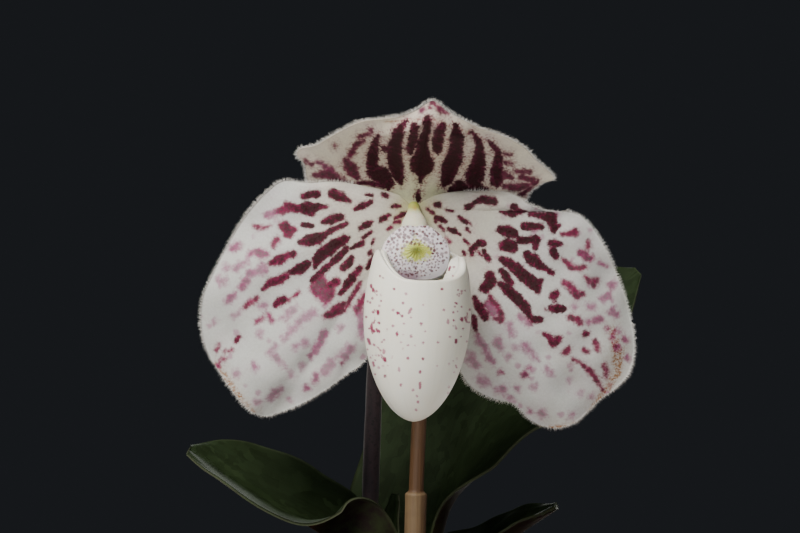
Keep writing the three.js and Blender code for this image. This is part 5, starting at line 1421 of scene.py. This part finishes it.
# %% Specks of the shield
SPECKS = {"count": 170, "seed": 17, "right": (385, 448), "down": (226, 277), "outline": (416.5, 250, 31, 26.5),
          "patch": (417, 253, 15, 9.5), "crowded_below": 256, "gap": (3.0, 4.6), "crowded_gap": (2.4, 3.4)}


def in_oval(right, down, oval):
    """Below 1 inside an oval, which is given as its middle and two half widths on the front view's grid."""
    return ((right - oval[0]) / oval[2]) ** 2 + ((down - oval[1]) / oval[3]) ** 2


def shield_specks():
    """Short strokes strewn evenly by trying places and keeping those with room round them."""
    chance = np.random.default_rng(SPECKS["seed"])
    kept = []
    while len(kept) < SPECKS["count"]:
        right, down = chance.uniform(*SPECKS["right"]), chance.uniform(*SPECKS["down"])
        gap = chance.uniform(*SPECKS["crowded_gap" if down > SPECKS["crowded_below"] else "gap"])
        outside = in_oval(right, down, SPECKS["outline"]) > 1 or in_oval(right, down, SPECKS["patch"]) < 1
        if not outside and all(math.hypot(right - r, down - d) >= gap for r, d in kept):
            kept.append((right, down))
    strokes = []
    for (right, down), width in zip(kept, chance.uniform(1.5, 3.4, SPECKS["count"])):
        head, tail = (0.65, 0.6) if down > SPECKS["crowded_below"] else (1, 0.9)
        strokes.append((chance.uniform(0.55, 1), (right, down, width * head),
                        (right + chance.normal(0, 0.8), down + chance.normal(0, 0.8), width * tail)))
    return strokes


print("first speck:", [round(float(v)) for v in shield_specks()[0][1]])

# %% The shield's form
STAMINODE = {"width": 10.4, "height": 9.0, "bulge": 1.5, "thickness": 1.2, "notch": 0.09, "notch_half": 0.28,
             "taper": 0.13, "corners": 0.12, "boss": 0.45, "tilt": math.radians(-14),
             "middle": np.array([0.25, -12.2, -7.1])}


def shield_sheet(rows=60, turn=180):
    """The shield's face, from rings round its middle: dome, notch, corners, wrinkles, boss and furrow."""
    u = (np.arange(1, rows + 1) / rows)[:, None]
    angle = 2 * np.pi * np.arange(turn) / turn
    from_top = np.minimum(angle, 2 * np.pi - angle)
    corners = STAMINODE["corners"] * np.sin(2 * angle) ** 2 * (np.cos(angle) < 0)
    radius = u * (1 + corners - STAMINODE["notch"] * np.exp(-((from_top / STAMINODE["notch_half"]) ** 2)))
    z = STAMINODE["height"] / 2 * radius * np.cos(angle)
    half = STAMINODE["width"] / 2 * (1 - STAMINODE["taper"] * smooth(0, STAMINODE["height"] / 2, z))
    x = half * radius * np.sin(angle)
    wrinkles = 0.04 * np.sin(angle * 17 + 3 * np.sin(u * 9)) * np.exp(-((u - 0.22) / 0.2) ** 2)
    boss = -STAMINODE["boss"] * np.exp(-((x / 1.5) ** 2 + ((z + 0.2) / 0.9) ** 2))
    furrow = 0.35 * np.exp(-((x / 0.5) ** 2)) * smooth(0.6, 3.6, z)
    y = STAMINODE["bulge"] * (u**2 - 1) + wrinkles + boss + furrow
    return np.stack([x, y, z], -1)


def on_column(points):
    """Tilts the shield and carries it to the end of the column."""
    c, s = math.cos(STAMINODE["tilt"]), math.sin(STAMINODE["tilt"])
    turned_points = np.stack([points[..., 0], c * points[..., 1] - s * points[..., 2],
                              s * points[..., 1] + c * points[..., 2]], -1)
    return turned_points + STAMINODE["middle"] + FLOWER


face = shield_sheet()
print("domed face:", face.shape[:2], "points")

# %% The shield with its markings
rows, turn = face.shape[:2]
tip = np.array([[0, -STAMINODE["bulge"] - STAMINODE["boss"], 0]])
back_shift = np.array([0, STAMINODE["thickness"], 0])
rounded = face.copy()
rounded[-1] *= [1.012, 1, 1.012]
sheet_points = np.concatenate([rounded.reshape(-1, 3), tip])
size = len(sheet_points)
local = np.concatenate([sheet_points, sheet_points * [0.985, 1, 0.985] + back_shift])
faces = shell_faces(rows, turn, size, (size - 1, 2 * size - 1))
points = on_column(local)
depth, strength = stroke_depth(front_grid(points)[:, None], shield_specks(), blur=0.5)
is_front = np.arange(len(points)) < size
round_patch = np.arctan2(local[:, 2] + 0.3, local[:, 0])
rays = np.sin(11 * round_patch + 4 * np.sin(2 * round_patch + 9 * np.hypot(local[:, 0], local[:, 2])))
from_patch = np.hypot(local[:, 0] / 2.6, (local[:, 2] + 0.3) / 1.75)
patch = smooth(1.5 + 0.04 * rays, 0.35 + 0.03 * rays, from_patch) * is_front
streak = 0.45 * np.exp(-((local[:, 0] / 0.6) ** 2)) * smooth(0.5, 2.2, local[:, 2])
streak = streak * (1 - smooth(2.2, 3.6, local[:, 2]))
blush = 0.6 * smooth(-3.1, -3.9, local[:, 2] + 0.12 * local[:, 0]) * smooth(1.5, -0.5, local[:, 0])
piece("staminode_shield", points, faces, shield_skin, ["staminode"],
      {"spot_depth": np.where(is_front, depth[:, 0], -3), "spot_strength": strength[:, 0],
       "patch": np.clip(patch + streak, 0, 1), "olive": smooth(0.55, 0.1, from_patch), "blush": blush})

# %% Hairs of the staminode
rim_ring = on_column(np.stack([face[-1], face[-1] + back_shift * 0.9]))
scattered("staminode_fringe", rim_ring.reshape(-1, 3), grid_faces(2, turn, wrap=True)[:, ::-1], HAIRS, HAIR_SOCKETS,
          fringe_hair, count=45, length=0.5, thickness=0.035, lean=0.5, seed=60)
upper = face[12:, :][:, np.r_[150:180, 0:31]]
scattered("staminode_down", on_column(upper - [0, 0.02, 0]).reshape(-1, 3), grid_faces(*upper.shape[:2]), HAIRS,
          HAIR_SOCKETS, fringe_hair, count=22, length=0.5, thickness=0.035, lean=0.5, seed=61)

# %% Column finish
# Solid flesh with a waxy skin: a soft gloss, and light that sinks 1 mm in.
column_skin, tree, shader, place = new_material("ivory column", Roughness=0.4, Subsurface_Weight=0.2,
                                                Subsurface_Scale=1.0 * MM)
below_top, amber = (add(tree, ATTRIBUTE, attribute_name=label).outputs["Fac"] for label in ("below_top", "amber"))
tone = add(tree, RANGE, {"Value": below_top, "From Max": 1.1})
waxy = add(tree, MIX, {0: tone, 6: colour("#a9ae54"), 7: colour("#e0dec9")}, data_type="RGBA")
waxy = add(tree, MIX, {0: amber, 6: waxy, 7: colour("#b5882c")}, data_type="RGBA")
mist = add(tree, NOISE, {"Vector": place, "Scale": per_metre(0.8), "Detail": 3.0})
mist = add(tree, RANGE, {"Value": mist, "From Min": 0.5, "From Max": 0.8, "To Max": 0.4})
waxy = add(tree, MIX, {0: mist, 6: waxy, 7: colour("#c9c698")}, data_type="RGBA")
dress(tree, shader, waxy, mist, 0.2, 0.1)
print("column nodes:", len(tree.nodes))

# %% Column with its two anthers and its stigma
COLUMN_ROUTE = np.array([[0, 1.9, 0], [0, -0.9, -0.15], [0.1, -4.4, -2.6], [0.2, -8.3, -5]]) + FLOWER
AMBER_DOTS = ((414.5, 208), (423, 208))
SWELLINGS = ((1.9, -6.6, -4.5, 1, 1.3, 1), (-1.7, -6.6, -4.5, 1, 1.3, 1), (0.2, -6.8, -5.6, 2.1, 1.4, 1.1))
trunk = tube_rings(COLUMN_ROUTE, lambda t: 0.95 + 1.25 * smooth(0.35, 0.8, t), np.linspace(0, 1, 61), 64)
points, faces = capped(trunk)
u, v = np.meshgrid(np.linspace(0.02, 0.98, 33) * np.pi, np.linspace(0, 2 * np.pi, 48, endpoint=False), indexing="ij")
ball = np.stack([np.sin(u) * np.cos(v), np.sin(u) * np.sin(v), np.cos(u)], -1)
for x, y, z, a, b, c in SWELLINGS:
    ball_points, ball_faces = capped(ball * [a, b, c] + [x, y, z] + FLOWER)
    if signed_volume(ball_points, ball_faces) * signed_volume(points, faces) < 0:
        ball_faces = [f[::-1] for f in ball_faces]
    faces = faces + [[i + len(points) for i in f] for f in ball_faces]
    points = np.concatenate([points, ball_points])
amber = sum(np.exp(-(np.linalg.norm(front_grid(points) - dot, axis=1) / 1.9) ** 2) for dot in AMBER_DOTS)
piece("column_body", points, faces, column_skin, ["column"],
      {"below_top": FLOWER[2] - points[:, 2], "amber": np.clip(0.8 * amber, 0, 1)})

# %% [markdown]
# ## The cane and the crown
# A thin cane stands in the mix in front of the stem. Its lower length still wears a dry pale sheath that
# ends in a torn collar at the joint, and above it the bare wood is brown. A plain cylinder would look
# turned, so it is a tube with fine ribs whose radius steps at the joint. The woody crown under the leaves
# keeps the form of the construction and just gets a finish, because the leaves hide nearly all of it.

# %% Cane finish
# The dried stem of a woody grass: dull, with long fibres 0.35 mm apart, and some dirt. Its browns are set darker than
# dry cane as painted shade, since the cane stands in the shadow under the pouch.
cane_skin, tree, shader, place = new_material("dry cane", Roughness=0.62)
above_joint = add(tree, ATTRIBUTE, attribute_name="above_joint").outputs["Fac"]
stretched = add(tree, "ShaderNodeMapping", {"Vector": place, "Scale": (1.0, 1.0, 0.05)})
fibres = add(tree, NOISE, {"Vector": stretched, "Scale": per_metre(0.35), "Detail": 3.0})
# Painted shade: both browns are darker than dry cane, for the shadow under the pouch.
wood = add(tree, MIX, {0: fibres, 6: colour("#38230f"), 7: colour("#5c3f22")}, data_type="RGBA")
sheath = add(tree, MIX, {0: fibres, 6: colour("#5a4630"), 7: colour("#786446")}, data_type="RGBA")
cane = add(tree, MIX, {0: above_joint, 6: sheath, 7: wood}, data_type="RGBA")
dirt = add(tree, NOISE, {"Vector": place, "Scale": per_metre(4), "Detail": 4.0})
dirt = add(tree, RANGE, {"Value": dirt, "From Min": 0.5, "From Max": 0.75, "To Max": 0.4})
cane = add(tree, MIX, {0: dirt, 6: cane, 7: colour("#46311d")}, data_type="RGBA")
dress(tree, shader, cane, fibres, 0.5, 0.15)
print("cane nodes:", len(tree.nodes))

# %% Cane
STAKE_ROUTE = [[2.9, -9, 50], [3.2, -9, 86], [4.5, -9, 117]]
STAKE = {"low_radius": 1.75, "high_radius": 1.2, "joint": 0.57, "step": 0.012, "collar": 0.06, "sides": 40}


def stake_radius(t):
    """Wide in its sheath, slim above the joint, with the sheath's collar between them."""
    bare = float(smooth(STAKE["joint"], STAKE["joint"] + STAKE["step"], t))
    collar = STAKE["collar"] * math.exp(-((t - STAKE["joint"]) / STAKE["step"]) ** 2)
    return mix(STAKE["low_radius"], STAKE["high_radius"], bare) + collar


places = np.concatenate([np.linspace(0, 0.54, 60), np.linspace(0.545, 0.6, 40), np.linspace(0.61, 1, 60)])
stake = tube_rings(STAKE_ROUTE, stake_radius, places, STAKE["sides"], ribs=13, rib_depth=0.025)
points, faces = capped(stake)
above_joint = np.repeat(smooth(STAKE["joint"] + 0.003, STAKE["joint"] + 0.01, places), STAKE["sides"])
piece("stake_cane", points, faces, cane_skin, ["stake"],
      {"above_joint": np.concatenate([above_joint, [0, 1]])})

# %% Crown
# Corky stock wrapped in the bases of old leaves: matt and fibrous.
crown_skin, tree, shader, place = new_material("woody crown", Roughness=0.85)
stretched = add(tree, "ShaderNodeMapping", {"Vector": place, "Scale": (1.0, 1.0, 0.3)})
fibres = add(tree, NOISE, {"Vector": stretched, "Scale": per_metre(0.7), "Detail": 3.0})
tan = add(tree, MIX, {0: fibres, 6: colour("#4d3d26"), 7: colour("#8a7448")}, data_type="RGBA")
dress(tree, shader, tan, fibres, 0.5, 0.2)
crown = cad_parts["crown"]
crown.data.materials.clear()
crown.data.materials.append(crown_skin)
print("crown keeps the form of the construction")

# %% Finish
bpy.context.view_layer.update()
